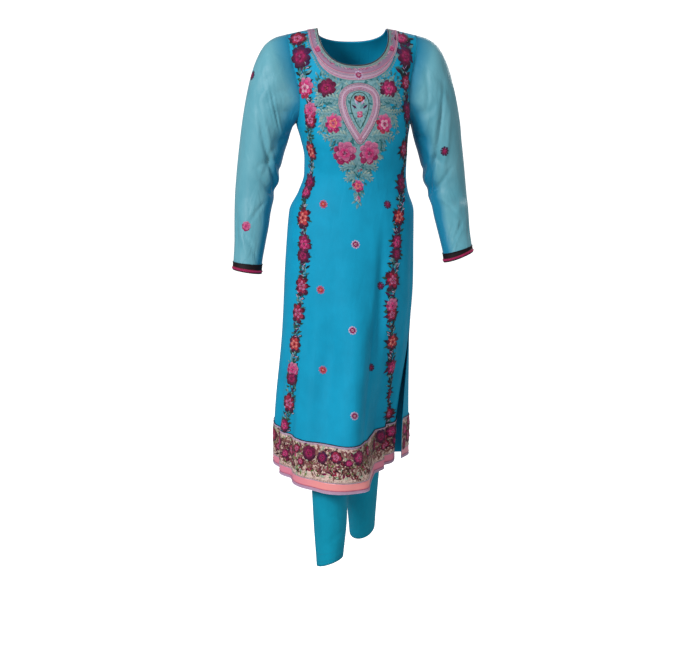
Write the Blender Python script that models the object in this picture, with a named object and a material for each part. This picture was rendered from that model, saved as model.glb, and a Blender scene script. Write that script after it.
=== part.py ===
"""A salwar kameez suit, held open as it is worn and with nobody inside.

The kameez is a long fitted tunic with a scoop neck, straight sheer sleeves and
side slits; the salwar is a pair of slim trousers. Every piece is cut and sewn
as its own panel, so every piece is its own thin wall, a seam's gap from the
next one. Lengths are metres. +Z is up, the wearer faces -Y, and the wearer's
right is -X. The origin lies between the two shoulder seams.
"""

import math
from collections import namedtuple

import bpy
from mathutils import Vector

# ---------------------------------------------------------------- driving sizes
SEAM_GAP = 0.0003            # between two pieces that are sewn together
SEAM_PULL = 0.0002           # how far a wall's rim stands back from its seam
CLOTH = 0.0012               # wall of the lined crepe body and of the trousers
SHEER_CLOTH = 0.0010         # wall of the sleeve
TRIM_CLOTH = 0.0010          # wall of a sewn-on border or band

HEM_Z = -1.086               # centre front of the kameez hem
SATIN_HEIGHT = 0.026         # satin band at the very hem
BORDER_HEIGHT = 0.088        # flowered border above the satin
SIDE_HEM_RISE = 0.030        # the hem is cut higher at the side slits
UNDERARM_Z = -0.220
SLIT_TOP_Z = -0.430

NECK_HALF_WIDTH = 0.082
FRONT_NECK_DROP = 0.087
BACK_NECK_DROP = 0.026
NECK_SQUARENESS = 0.86       # 1 is an ellipse, less is a fuller U
NECK_BAND_WIDTH = 0.024
NECK_ROWS = 2                # rows of mesh under the neck band
NECK_BEND = 0.72             # how far round the neck its sides turn upright
SHOULDER_TIP_X = 0.152
SHOULDER_TIP_Z = -0.013
SHOULDER_ROLL = 0.085        # height over which the chest rolls to the seam

BORDER_SEAM_SHARE = 0.76     # of the shoulder seam that the side border takes
BACK_FULLNESS = 0.95         # 1 is an ellipse, less is a fuller back
FLAP_START = 0.78            # where the back begins to turn at its left slit
CUFF_SHARE = 0.86            # of the last sleeve section, under the cuff band
LEG_COLUMNS = 20

WAIST_Z = -0.372
WAISTBAND_HEIGHT = 0.030
CROTCH_Z = -0.630
CROTCH_CURVE_HEIGHT = 0.110
TROUSER_HEM_Z = -1.282

FRONT, BACK = -1, 1
RIGHT, LEFT = -1, 1          # the wearer's own sides, as signs of x

# ---------------------------------------------------------------- section tables
# Level sections of the kameez from shoulder to hem. The four half widths are
# from centre_x to each panel's side edge; front and back differ below the slit.
# left_flap is how far the back's left slit edge is turned towards the front.
BodySection = namedtuple(
    "BodySection",
    "z centre_x front_right front_left back_right back_left "
    "front_depth back_depth front_fullness slit_right slit_left left_flap",
)
BODY_SECTIONS = [
    BodySection(0.020, 0.000, 0.180, 0.180, 0.180, 0.180, 0.068, 0.070, 0.90, 0.0000, 0.0000, 0.0),
    BodySection(-0.050, 0.000, 0.168, 0.168, 0.168, 0.168, 0.080, 0.084, 0.90, 0.0000, 0.0000, 0.0),
    BodySection(-0.100, 0.000, 0.152, 0.152, 0.152, 0.152, 0.094, 0.095, 0.88, 0.0000, 0.0000, 0.0),
    BodySection(-0.160, 0.001, 0.141, 0.142, 0.141, 0.142, 0.112, 0.100, 0.86, 0.0000, 0.0000, 0.0),
    BodySection(-0.220, 0.002, 0.136, 0.138, 0.136, 0.138, 0.124, 0.098, 0.86, 0.0000, 0.0000, 0.0),
    BodySection(-0.255, 0.004, 0.128, 0.131, 0.128, 0.131, 0.126, 0.094, 0.86, 0.0000, 0.0000, 0.0),
    BodySection(-0.300, 0.007, 0.122, 0.126, 0.122, 0.126, 0.116, 0.087, 0.88, 0.0000, 0.0000, 0.0),
    BodySection(-0.340, 0.007, 0.123, 0.125, 0.123, 0.125, 0.104, 0.084, 0.90, 0.0000, 0.0000, 0.0),
    BodySection(-0.380, 0.004, 0.133, 0.133, 0.133, 0.133, 0.101, 0.091, 0.92, 0.0000, 0.0000, 0.0),
    BodySection(-0.430, 0.000, 0.153, 0.152, 0.153, 0.152, 0.105, 0.107, 0.94, 0.0006, 0.0006, 0.0),
    BodySection(-0.500, -0.003, 0.157, 0.155, 0.155, 0.155, 0.112, 0.118, 0.96, 0.0030, 0.0030, 0.0),
    BodySection(-0.600, -0.006, 0.160, 0.157, 0.156, 0.158, 0.122, 0.121, 0.98, 0.0050, 0.0060, 0.0),
    BodySection(-0.740, -0.011, 0.160, 0.148, 0.154, 0.166, 0.138, 0.123, 1.00, 0.0080, 0.0110, 0.014),
    BodySection(-0.900, -0.024, 0.158, 0.134, 0.155, 0.184, 0.162, 0.127, 1.05, 0.0110, 0.0200, 0.040),
    BodySection(-1.000, -0.030, 0.155, 0.127, 0.153, 0.194, 0.180, 0.131, 1.12, 0.0130, 0.0270, 0.054),
    BodySection(-1.120, -0.031, 0.154, 0.125, 0.152, 0.196, 0.194, 0.136, 1.15, 0.0150, 0.0330, 0.058),
]

# Where the armhole edge runs, as a share of the body's half width there.
ArmholeRow = namedtuple("ArmholeRow", "z share")
ARMHOLE = [
    ArmholeRow(-0.220, 1.000),
    ArmholeRow(-0.205, 0.970),
    ArmholeRow(-0.185, 0.935),
    ArmholeRow(-0.150, 0.900),
    ArmholeRow(-0.100, 0.870),
    ArmholeRow(-0.050, 0.855),
    ArmholeRow(-0.013, 0.850),
]

# Hanging folds of the skirt. across is -1 at the wearer's right slit and +1 at
# the left one, width is in the same units, and depth is how far the cloth
# falls in at the hem.
Fold = namedtuple("Fold", "across_top across_hem width depth start_z")
FRONT_FOLDS = [
    Fold(-0.74, -0.84, 0.055, 0.012, -0.620),
    Fold(-0.56, -0.63, 0.070, 0.015, -0.560),
    Fold(-0.30, -0.33, 0.090, 0.006, -0.700),
    Fold(0.10, 0.07, 0.110, 0.005, -0.520),
    Fold(0.345, 0.300, 0.050, 0.010, -0.440),
    Fold(0.62, 0.68, 0.080, 0.016, -0.480),
]
BACK_FOLDS = [
    Fold(-0.70, -0.76, 0.090, 0.015, -0.560),
    Fold(-0.34, -0.38, 0.100, 0.013, -0.600),
    Fold(0.02, 0.05, 0.110, 0.016, -0.540),
    Fold(0.42, 0.46, 0.090, 0.012, -0.640),
    Fold(0.74, 0.80, 0.080, 0.015, -0.580),
]
# The front skirt is carried forward over the leading leg and then drops back.
DROP_BACK = Fold(0.36, 0.33, 0.150, 0.105, -0.640)

# Centre line of the two flowered side borders, as a share of the front's angle
# from its middle to its side, and half their width in the same units.
BorderRow = namedtuple("BorderRow", "z right left half_width")
SIDE_BORDERS = [
    BorderRow(-0.020, 0.540, 0.500, 0.068),
    BorderRow(-0.070, 0.560, 0.535, 0.068),
    BorderRow(-0.140, 0.600, 0.630, 0.068),
    BorderRow(-0.200, 0.585, 0.690, 0.068),
    BorderRow(-0.285, 0.690, 0.770, 0.068),
    BorderRow(-0.360, 0.700, 0.650, 0.068),
    BorderRow(-0.440, 0.585, 0.490, 0.066),
    BorderRow(-0.520, 0.545, 0.455, 0.066),
    BorderRow(-0.600, 0.552, 0.415, 0.066),
    BorderRow(-0.670, 0.595, 0.430, 0.066),
    BorderRow(-0.750, 0.632, 0.470, 0.066),
    BorderRow(-0.820, 0.630, 0.520, 0.066),
    BorderRow(-0.890, 0.645, 0.600, 0.066),
    BorderRow(-0.980, 0.715, 0.690, 0.066),
]

# Sleeve sections for one side: the point nearest the body, the outermost
# point, and the depth from front to back. Both sleeves are cut alike.
SleeveSection = namedtuple("SleeveSection", "inner_x inner_z outer_x outer_z centre_y half_depth")
SLEEVE_SECTIONS = [
    SleeveSection(0.1380, -0.2208, 0.1508, -0.0128, 0.000, 0.050),
    SleeveSection(0.1440, -0.2270, 0.1790, -0.0200, 0.000, 0.054),
    SleeveSection(0.1475, -0.2390, 0.2050, -0.0370, 0.000, 0.058),
    SleeveSection(0.1515, -0.2550, 0.2250, -0.0680, 0.001, 0.060),
    SleeveSection(0.1570, -0.2740, 0.2400, -0.1080, 0.002, 0.061),
    SleeveSection(0.1640, -0.2950, 0.2520, -0.1560, 0.003, 0.060),
    SleeveSection(0.1710, -0.3220, 0.2630, -0.2160, 0.004, 0.057),
    SleeveSection(0.1750, -0.3500, 0.2720, -0.2800, 0.004, 0.054),
    SleeveSection(0.1830, -0.3800, 0.2790, -0.3400, 0.003, 0.050),
    SleeveSection(0.1930, -0.4150, 0.2840, -0.3980, 0.000, 0.046),
    SleeveSection(0.2010, -0.4600, 0.2860, -0.4550, -0.004, 0.043),
    SleeveSection(0.2110, -0.5080, 0.2870, -0.5080, -0.009, 0.039),
    SleeveSection(0.2210, -0.5600, 0.2900, -0.5530, -0.014, 0.034),
    SleeveSection(0.2245, -0.5880, 0.2910, -0.5760, -0.017, 0.033),
]
ELBOW_Z = -0.360
# How each forearm is carried from the elbow: forwards and towards the body
# (radians), how much of its length is left once the cloth rides up, and how
# much higher that brings the cuff's outside.
Forearm = namedtuple("Forearm", "swing lean length cuff_tilt")
FOREARMS = {
    RIGHT: Forearm(math.radians(9.0), 0.0, 0.95, 0.0),
    LEFT: Forearm(math.radians(34.0), math.radians(5.0), 0.92, 0.016),
}
CUFF_TILT_FROM = 0.70        # how far down the sleeve the tilt begins

# Crush folds round the sleeve: how far down (0 shoulder to 1 wrist), which way
# round (0 body side, 0.25 front, 0.5 outside), their half sizes and depth.
SleeveCrease = namedtuple("SleeveCrease", "down around down_width around_width depth")
SLEEVE_CREASES = [
    SleeveCrease(0.62, 0.05, 0.030, 0.16, 0.0060),
    SleeveCrease(0.50, 0.02, 0.030, 0.14, 0.0050),
    SleeveCrease(0.74, 0.16, 0.035, 0.15, 0.0035),
    SleeveCrease(0.34, 0.12, 0.050, 0.10, 0.0035),
]

# Level sections of the trousers' hips, with front and back depth.
HipSection = namedtuple("HipSection", "z half_width front_depth back_depth")
HIP_SECTIONS = [
    HipSection(-0.345, 0.1120, 0.0850, 0.0740),
    HipSection(-0.372, 0.1150, 0.0850, 0.0780),
    HipSection(-0.430, 0.1330, 0.0900, 0.0960),
    HipSection(-0.500, 0.1420, 0.0960, 0.1158),
    HipSection(-0.560, 0.1430, 0.0980, 0.1120),
    HipSection(-0.630, 0.1430, 0.0950, 0.1020),
    HipSection(-0.700, 0.1400, 0.0900, 0.0900),
]

# Level sections of each leg below the crotch.
LegSection = namedtuple("LegSection", "z centre_x centre_y half_width half_depth")
RIGHT_LEG = [
    LegSection(-0.560, -0.0715, 0.002, 0.0705, 0.098),
    LegSection(-0.630, -0.0715, -0.004, 0.0705, 0.092),
    LegSection(-0.700, -0.0720, -0.018, 0.0660, 0.080),
    LegSection(-0.800, -0.0720, -0.044, 0.0590, 0.066),
    LegSection(-0.920, -0.0690, -0.076, 0.0510, 0.055),
    LegSection(-1.050, -0.0660, -0.098, 0.0460, 0.050),
    LegSection(-1.180, -0.0650, -0.112, 0.0415, 0.045),
    LegSection(-1.330, -0.0680, -0.128, 0.0310, 0.037),
]
LEFT_LEG = [
    LegSection(-0.560, 0.0715, 0.002, 0.0705, 0.098),
    LegSection(-0.630, 0.0715, 0.006, 0.0705, 0.092),
    LegSection(-0.700, 0.0690, 0.012, 0.0660, 0.080),
    LegSection(-0.800, 0.0600, 0.018, 0.0585, 0.066),
    LegSection(-0.920, 0.0480, 0.026, 0.0505, 0.056),
    LegSection(-1.050, 0.0380, 0.042, 0.0440, 0.050),
    LegSection(-1.180, 0.0340, 0.062, 0.0400, 0.046),
    LegSection(-1.330, 0.0380, 0.090, 0.0325, 0.039),
]
# The leg hem tips by these amounts from its middle to its outer and back edge.
LegHem = namedtuple("LegHem", "outer_rise back_rise")
LEG_HEM = {RIGHT: LegHem(-0.012, -0.006), LEFT: LegHem(0.012, 0.014)}

# Colours (linear RGB) and roughness of the cloths.
TURQUOISE = (0.020, 0.330, 0.520, 1.0)
SHEER_TURQUOISE = (0.130, 0.420, 0.500, 1.0)
OLD_ROSE = (0.420, 0.180, 0.300, 1.0)
MAROON = (0.190, 0.015, 0.050, 1.0)
NET_BEIGE = (0.420, 0.330, 0.300, 1.0)
SALMON = (0.750, 0.290, 0.260, 1.0)
TEAL = (0.015, 0.110, 0.140, 1.0)


# ---------------------------------------------------------------- reading tables
def smooth(t):
    """0 below 0, 1 above 1, and an even S between them."""
    t = min(1.0, max(0.0, t))
    return t * t * (3.0 - 2.0 * t)


def read(table, at, key="z"):
    """The table's row at this height, on a smooth curve through its rows.

    The slopes are limited, so the curve never overshoots a row."""
    rows = sorted(table, key=lambda row: getattr(row, key))
    places = [getattr(row, key) for row in rows]
    at = min(max(at, places[0]), places[-1])
    i = max(k for k in range(len(rows) - 1) if places[k] <= at)
    span = places[i + 1] - places[i]
    t = (at - places[i]) / span

    def slope(k, values):
        if k == 0 or k == len(rows) - 1:
            return 0.0
        before = (values[k] - values[k - 1]) / (places[k] - places[k - 1])
        after = (values[k + 1] - values[k]) / (places[k + 1] - places[k])
        if before * after <= 0.0:
            return 0.0
        return 2.0 * before * after / (before + after)

    found = []
    for values in zip(*rows):
        start, end = slope(i, values) * span, slope(i + 1, values) * span
        found.append(
            values[i] * (1 + 2 * t) * (1 - t) ** 2
            + values[i + 1] * t * t * (3 - 2 * t)
            + start * t * (1 - t) ** 2
            + end * t * t * (t - 1)
        )
    return type(rows[0])(*found)


def evenly(start, end, count):
    """count + 1 values from start to end."""
    return [start + (end - start) * k / count for k in range(count + 1)]


# ---------------------------------------------------------------- kameez surface
def shoulder_z(x):
    """Height of the shoulder line over x, from the neck point to the tip."""
    along = (abs(x) - NECK_HALF_WIDTH) / (SHOULDER_TIP_X - NECK_HALF_WIDTH)
    return SHOULDER_TIP_Z * max(0.0, along) ** 1.3


def fold_weight(fold, z):
    """How much of a fold there is at this height, 0 at its start, 1 at the hem."""
    return smooth((fold.start_z - z) / (fold.start_z - HEM_Z))


def fold_in(side, across, z):
    """How far the hanging folds take the cloth in at this place."""
    total = 0.0
    for fold in FRONT_FOLDS if side == FRONT else BACK_FOLDS:
        weight = fold_weight(fold, z)
        centre = fold.across_top + (fold.across_hem - fold.across_top) * weight
        away = (across - centre) / fold.width
        total += fold.depth * weight * (math.exp(-away * away) - 0.22)
    return total


def drop_back(across, z):
    """How far the front skirt falls back beside the leading leg."""
    weight = fold_weight(DROP_BACK, z)
    centre = DROP_BACK.across_top + (DROP_BACK.across_hem - DROP_BACK.across_top) * weight
    beyond = smooth((across - centre) / DROP_BACK.width + 0.5)
    fading = 1.0 - 0.75 * smooth((across - centre) / (1.0 - centre))
    return DROP_BACK.depth * weight * beyond * fading


def half_width(side, across, section):
    """The panel's half width on this side of its middle."""
    if side == FRONT:
        return section.front_left if across > 0 else section.front_right
    return section.back_left if across > 0 else section.back_right


def body_point(side, across, z):
    """A point of the kameez: across is -1 to 1 from side edge to side edge."""
    s = read(BODY_SECTIONS, z)
    angle = across * math.pi / 2
    depth = s.front_depth if side == FRONT else s.back_depth
    fullness = s.front_fullness if side == FRONT else BACK_FULLNESS
    x = s.centre_x + half_width(side, across, s) * math.sin(angle)
    y = depth * max(0.0, math.cos(angle)) ** fullness
    below = shoulder_z(x) - z
    if below < SHOULDER_ROLL:
        y *= math.sqrt(max(0.0, 1.0 - (1.0 - max(0.0, below) / SHOULDER_ROLL) ** 2))
    taken_in = fold_in(side, across, z)
    x -= taken_in * math.sin(angle)
    y -= taken_in * math.cos(angle)
    if side == FRONT:
        y -= drop_back(across, z)
    slit = s.slit_left if across > 0 else s.slit_right
    y += slit / 2 * abs(math.sin(angle)) ** 6
    if side == BACK and across > 0:
        turned = smooth((across - FLAP_START) / (1.0 - FLAP_START))
        x -= s.left_flap * turned
        y -= 0.8 * s.left_flap * turned
    return Vector((x, side * y, z))


def across_at(side, x, z):
    """The across value at which the panel has this x."""
    s = read(BODY_SECTIONS, z)
    sine = (x - s.centre_x) / half_width(side, x - s.centre_x, s)
    return math.asin(max(-1.0, min(1.0, sine))) * 2 / math.pi


def neck_edge(side, turn, out=0.0):
    """The panel's point on the neckline: turn is -1 to 1 from neck point to
    neck point, and out is the distance outside the edge."""
    drop = FRONT_NECK_DROP if side == FRONT else BACK_NECK_DROP
    angle = turn * math.pi / 2
    wide = math.copysign(abs(math.sin(angle)) ** NECK_SQUARENESS, angle)
    down = max(0.0, math.cos(angle)) ** NECK_SQUARENESS
    x = (NECK_HALF_WIDTH + out) * wide
    z = shoulder_z(x) - (drop + out) * down
    return body_point(side, across_at(side, x, z), z)


def top_edge(side, place):
    """A point of a panel's upper edge, below the neck band. place is -1 to 1
    round the neck band, and beyond that along the shoulder seam to 2."""
    if abs(place) <= 1.0:
        return neck_edge(side, place, NECK_BAND_WIDTH)
    start = NECK_HALF_WIDTH + NECK_BAND_WIDTH
    x = start + (SHOULDER_TIP_X - start) * (abs(place) - 1.0)
    return Vector((math.copysign(x, place), 0.0, shoulder_z(x)))


def lines_across(side, z):
    """The lengthwise lines of a panel: (across at this height, place on the
    upper edge). Each pair of neighbours bounds a lane of equal columns."""
    if side == BACK:
        return [(-1.0, -2.0), (-0.55, -1.0), (0.0, 0.0), (0.55, 1.0), (1.0, 2.0)]
    row = read(SIDE_BORDERS, z)
    whole = math.asin(read(ARMHOLE, z).share) * 2 / math.pi
    half = row.half_width / whole
    lines = [(0.0, 0.0)]
    for sign, centre in ((RIGHT, row.right / whole), (LEFT, row.left / whole)):
        found = [
            (sign * (centre - half) * 0.80, sign * NECK_BEND),
            (sign * (centre - half), sign * 1.0),
            (sign * (centre + half), sign * (1.0 + BORDER_SEAM_SHARE)),
            (sign * 1.0, sign * 2.0),
        ]
        lines = lines + found if sign == LEFT else found[::-1] + lines
    return lines


FRONT_LANES = (4, 2, 3, 6, 6, 3, 2, 4)
BACK_LANES = (5, 6, 6, 5)


def columns_at(side, z):
    """All columns of a panel at this height, from its right edge to its left."""
    lines = lines_across(side, z)
    lanes = FRONT_LANES if side == FRONT else BACK_LANES
    columns = [lines[0]]
    for (start, end, cells) in zip(lines, lines[1:], lanes):
        columns += [
            (start[0] + (end[0] - start[0]) * k / cells, start[1] + (end[1] - start[1]) * k / cells)
            for k in range(1, cells + 1)
        ]
    return columns


def hem_lift(across):
    """How much higher the hem is here than at the centre."""
    return SIDE_HEM_RISE * abs(across) ** 2.5


def skirt_z(z, across):
    """A level of the skirt, bent to follow the hem as it nears it."""
    return z + hem_lift(across) * smooth((-0.80 - z) / (-0.80 - HEM_Z))


def panel_point(side, z, across, place):
    """A point of a panel; z is the height of its row at the side edge."""
    if z <= UNDERARM_Z:
        return body_point(side, across, skirt_z(z, across))
    rise = (z - UNDERARM_Z) / (SHOULDER_TIP_Z - UNDERARM_Z)
    weight = smooth(rise) * 0.5 + 0.5 * rise**2
    s = read(BODY_SECTIONS, z)
    body_half = half_width(side, across, s)
    edge = math.asin(read(ARMHOLE, z).share)
    x = s.centre_x + body_half * math.sin(across * edge)
    top = top_edge(side, place)
    x += (top.x - x) * weight**1.5
    at_z = z + (top.z - SHOULDER_TIP_Z) * weight
    return body_point(side, across_at(side, x, at_z), at_z)


def panel_row(side, z):
    """One whole row of a panel."""
    return [panel_point(side, z, across, place) for across, place in columns_at(side, z)]


SATIN_TOP_Z = HEM_Z + SATIN_HEIGHT
BORDER_TOP_Z = SATIN_TOP_Z + BORDER_HEIGHT
SKIRT_LEVELS = [HEM_Z] + evenly(SATIN_TOP_Z, BORDER_TOP_Z, 3) + evenly(BORDER_TOP_Z, -0.50, 8)[1:]
WAIST_LEVELS = [-0.465, SLIT_TOP_Z, -0.405, -0.375, -0.340, -0.300, -0.260]
ARMHOLE_LEVELS = evenly(UNDERARM_Z, SHOULDER_TIP_Z, 8)
PANEL_LEVELS = SKIRT_LEVELS + WAIST_LEVELS + ARMHOLE_LEVELS


# ---------------------------------------------------------------- mesh building
def sorted_cell(cell):
    """The cell started at its lowest corner, so that walls on one sheet are all
    split along the same diagonals."""
    first = cell.index(min(cell))
    return cell[first:] + cell[:first]


class Sheet:
    """A sheet of cloth as a grid of points, with the cells that are cloth.

    A key is (row, column). Rows run upwards and columns anticlockwise seen from
    above, so that the cells face outwards."""

    def __init__(self):
        self.points = {}
        self.cells = []
        self.flat_in = {}

    def add_row(self, row, points, first=0):
        for column, point in enumerate(points):
            self.points[row, first + column] = point

    def add_cells(self, rows, columns, wrap=0):
        for i in rows:
            for j in columns:
                after = (j + 1) % wrap if wrap else j + 1
                self.cells.append(((i, j), (i, after), (i + 1, after), (i + 1, j)))

    def on_plane(self, key, axis, at):
        """Keep a point, and the wall under it, on a seam's plane."""
        self.points[key][axis] = at
        self.flat_in[key] = axis

    def turned(self):
        """The same sheet with its cells facing the other way."""
        self.cells = [cell[::-1] for cell in self.cells]
        return self

    def normals(self):
        found = {key: Vector() for key in self.points}
        for cell in self.cells:
            a, b, c, d = (self.points[key] for key in cell)
            normal = (c - a).cross(d - b).normalized()
            for key in cell:
                found[key] += normal
        for key, axis in self.flat_in.items():
            found[key][axis] = 0.0
        return {key: normal.normalized() for key, normal in found.items()}

    def rim(self, cells):
        """The directed edges that only one of these cells has."""
        edges = [(cell[k], cell[(k + 1) % 4]) for cell in cells for k in range(4)]
        present = set(edges)
        return [edge for edge in edges if edge[::-1] not in present]

    def wall(self, name, inside, outside, colour, roughness=0.8, rows=None, columns=None):
        """Build a closed wall between two distances out from the sheet, over
        all its cells or over those in these rows and columns."""
        cells = [
            cell for cell in self.cells
            if (rows is None or min(key[0] for key in cell) in rows)
            and (columns is None or min(key[1] for key in cell) in columns)
        ]
        normals = self.normals()
        edges = self.rim(cells)
        on_rim = {key for edge in edges for key in edge}
        middle, meeting = {}, {}
        for cell in cells:
            centre = sum((self.points[key] for key in cell), Vector()) / 4
            for key in cell:
                middle[key] = middle.get(key, Vector()) + centre
                meeting[key] = meeting.get(key, 0) + 1
        number, vertices = {}, []
        for key in meeting:
            point = self.points[key].copy()
            if key in on_rim:
                inward = (middle[key] / meeting[key] - point).normalized() * SEAM_PULL
                if key in self.flat_in:
                    inward[self.flat_in[key]] = 0.0
                point += inward
            number[key] = len(vertices)
            vertices += [point + normals[key] * inside, point + normals[key] * outside]
        faces = []
        for a, b, c, d in (sorted_cell(cell) for cell in cells):
            for corner in ((a, b, c), (a, c, d)):
                faces.append([number[key] + 1 for key in corner])
                faces.append([number[key] for key in corner[::-1]])
        for start, end in edges:
            faces.append([number[start], number[end], number[end] + 1, number[start] + 1])
        mesh = bpy.data.meshes.new(name)
        mesh.from_pydata(vertices, [], faces)
        piece = bpy.data.objects.new(name, mesh)
        bpy.context.collection.objects.link(piece)
        material = bpy.data.materials.new(name)
        material.use_nodes = True
        shader = material.node_tree.nodes["Principled BSDF"]
        shader.inputs["Base Color"].default_value = colour
        shader.inputs["Roughness"].default_value = roughness
        mesh.materials.append(material)
        return piece


# ---------------------------------------------------------------- kameez pieces
def body_sheet(side):
    """A whole front or back panel, with the strip that lies under the neck band."""
    sheet = Sheet()
    lanes = FRONT_LANES if side == FRONT else BACK_LANES
    last = sum(lanes)
    for i, z in enumerate(PANEL_LEVELS):
        sheet.add_row(i, panel_row(side, z))
        if SLIT_TOP_Z <= z <= UNDERARM_Z:
            for j in (0, last):
                sheet.on_plane((i, j), 1, side * SEAM_GAP / 2)
    sheet.add_cells(range(len(PANEL_LEVELS) - 1), range(last))
    top = len(PANEL_LEVELS) - 1
    first = sum(lanes[:2]) if side == FRONT else lanes[0]
    neck_columns = range(first, last - first)
    turns = [place for _, place in columns_at(side, SHOULDER_TIP_Z)[first:last - first + 1]]
    for step in range(1, NECK_ROWS + 1):
        out = NECK_BAND_WIDTH * (1.0 - step / NECK_ROWS)
        sheet.add_row(top + step, [neck_edge(side, turn, out) for turn in turns], first)
    sheet.add_cells(range(top, top + NECK_ROWS), neck_columns)
    for i, j in list(sheet.points):
        beyond = j <= first or j >= last - first
        if i >= top and beyond:
            sheet.on_plane((i, j), 1, side * SEAM_GAP / 2)
    return (sheet if side == FRONT else sheet.turned()), range(top, top + NECK_ROWS)


def body_pieces(side, word):
    """One body panel with the trims that lie on it."""
    sheet, neck_rows = body_sheet(side)
    low, high = SEAM_GAP, SEAM_GAP + TRIM_CLOTH
    sheet.wall("kameez_" + word, -CLOTH, 0.0, TURQUOISE)
    sheet.wall("neck_band_" + word, low, high, OLD_ROSE, rows=neck_rows)
    sheet.wall("hem_satin_" + word, low, high, SALMON, 0.35, rows=range(0, 1))
    sheet.wall("hem_border_" + word, low, high, NET_BEIGE, rows=range(1, 4))
    if side == FRONT:
        rows = range(4, len(PANEL_LEVELS) - 1)
        for lane, wearer_side in ((1, "right"), (6, "left")):
            first = sum(FRONT_LANES[:lane])
            columns = range(first, first + FRONT_LANES[lane])
            sheet.wall("side_border_" + wearer_side, low, high, MAROON, rows=rows, columns=columns)


# ---------------------------------------------------------------- sleeves
def armhole_loop(wearer_side):
    """The armhole edge: up the front from the underarm, then down the back."""
    column = 0 if wearer_side == RIGHT else -1
    front, back = (
        [panel_row(side, z)[column] for z in ARMHOLE_LEVELS] for side in (FRONT, BACK)
    )
    return front + back[-2:0:-1]


Keyed = namedtuple("Keyed", ("k",) + SleeveSection._fields)
KEYED_SECTIONS = [Keyed(float(k), *row) for k, row in enumerate(SLEEVE_SECTIONS)]


def round_sleeve(section, around):
    """A point of a sleeve section: 0 is next to the body and 0.25 in front."""
    turn = 2 * math.pi * around
    share = (1 - math.cos(turn)) / 2
    return Vector((
        section.inner_x + (section.outer_x - section.inner_x) * share,
        section.centre_y - section.half_depth * math.sin(turn),
        section.inner_z + (section.outer_z - section.inner_z) * share,
    ))


def sleeve_ring(wearer_side, down, loop):
    """One ring of the sleeve. down is 0 at the armhole and 1 at the cuff's end."""
    place = down * (len(SLEEVE_SECTIONS) - 1)
    s = read(KEYED_SECTIONS, place, "k")
    centre = (round_sleeve(s, 0.0) + round_sleeve(s, 0.5)) / 2
    ring = []
    for j, edge in enumerate(loop):
        around = j / len(loop)
        point = round_sleeve(s, around)
        inward = (centre - point).normalized()
        for crease in SLEEVE_CREASES:
            away_down = (down - crease.down) / crease.down_width
            turn_away = (around - crease.around + 0.5) % 1.0 - 0.5
            away_round = turn_away / crease.around_width
            point += inward * crease.depth * math.exp(-away_down**2 - away_round**2)
        own_edge = Vector((edge.x * wearer_side, edge.y, edge.z))
        blend = 1.0 - smooth(place / 3.0)
        point += (own_edge - round_sleeve(KEYED_SECTIONS[0], around)) * blend
        below = ELBOW_Z - point.z
        if below > 0.0:
            forearm = FOREARMS[wearer_side]
            bend = smooth(below / 0.08)
            reach = below * (1.0 + (forearm.length - 1.0) * bend)
            point.x -= reach * math.sin(forearm.lean * bend)
            point.y -= reach * math.sin(forearm.swing * bend)
            point.z = ELBOW_Z - reach * math.cos(forearm.swing * bend)
            tilt = forearm.cuff_tilt * smooth((down - CUFF_TILT_FROM) / (1.0 - CUFF_TILT_FROM))
            point.z -= tilt / 2 * math.cos(2 * math.pi * around)
        ring.append(Vector((point.x * wearer_side, point.y, point.z)))
    return ring


def sleeve(wearer_side, word):
    """A straight sleeve and the cuff band that lies on its end."""
    loop = armhole_loop(wearer_side)
    cuff_start = 1.0 - CUFF_SHARE / (len(SLEEVE_SECTIONS) - 1)
    downs = [1.0] + evenly(cuff_start, 0.0, 16)
    sheet = Sheet()
    for i, down in enumerate(downs):
        sheet.add_row(i, sleeve_ring(wearer_side, down, loop))
    last = len(downs) - 1
    for j in range(len(loop)):
        sheet.points[last, j].x += wearer_side * 2 * SEAM_GAP
    sheet.add_cells(range(last), range(len(loop)), wrap=len(loop))
    if wearer_side == RIGHT:
        sheet.turned()
    sheet.wall("sleeve_" + word, -SHEER_CLOTH, 0.0, SHEER_TURQUOISE)
    sheet.wall("cuff_" + word, SEAM_GAP, SEAM_GAP + TRIM_CLOTH, MAROON, rows=range(0, 1))


# ---------------------------------------------------------------- salwar
def leg_row(wearer_side, z, columns):
    """One row of a trouser half, from its front seam round to its back seam.

    Below the crotch it is a ring that closes at the inside leg; above, it
    opens into half of the hips."""
    leg = read(RIGHT_LEG if wearer_side == RIGHT else LEFT_LEG, z)
    hip = read(HIP_SECTIONS, z)
    rise = min(1.0, max(0.0, (z - CROTCH_Z) / CROTCH_CURVE_HEIGHT))
    opened = math.sqrt(1.0 - (1.0 - rise) ** 2)
    hem = LEG_HEM[wearer_side]
    tip = smooth((-1.10 - z) / 0.20)
    row = []
    for share in columns:
        turn = 2 * math.pi * share
        ring = Vector((
            leg.centre_x - wearer_side * leg.half_width * math.cos(turn),
            leg.centre_y - leg.half_depth * math.sin(turn),
            z - tip * (hem.outer_rise * math.cos(turn) + hem.back_rise * math.sin(turn)),
        ))
        angle = math.pi * (share - 0.5)
        depth = hip.back_depth if share > 0.5 else hip.front_depth
        half = Vector((
            wearer_side * hip.half_width * math.cos(angle), depth * math.sin(angle), z
        ))
        row.append(ring.lerp(half, opened))
    return row


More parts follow.
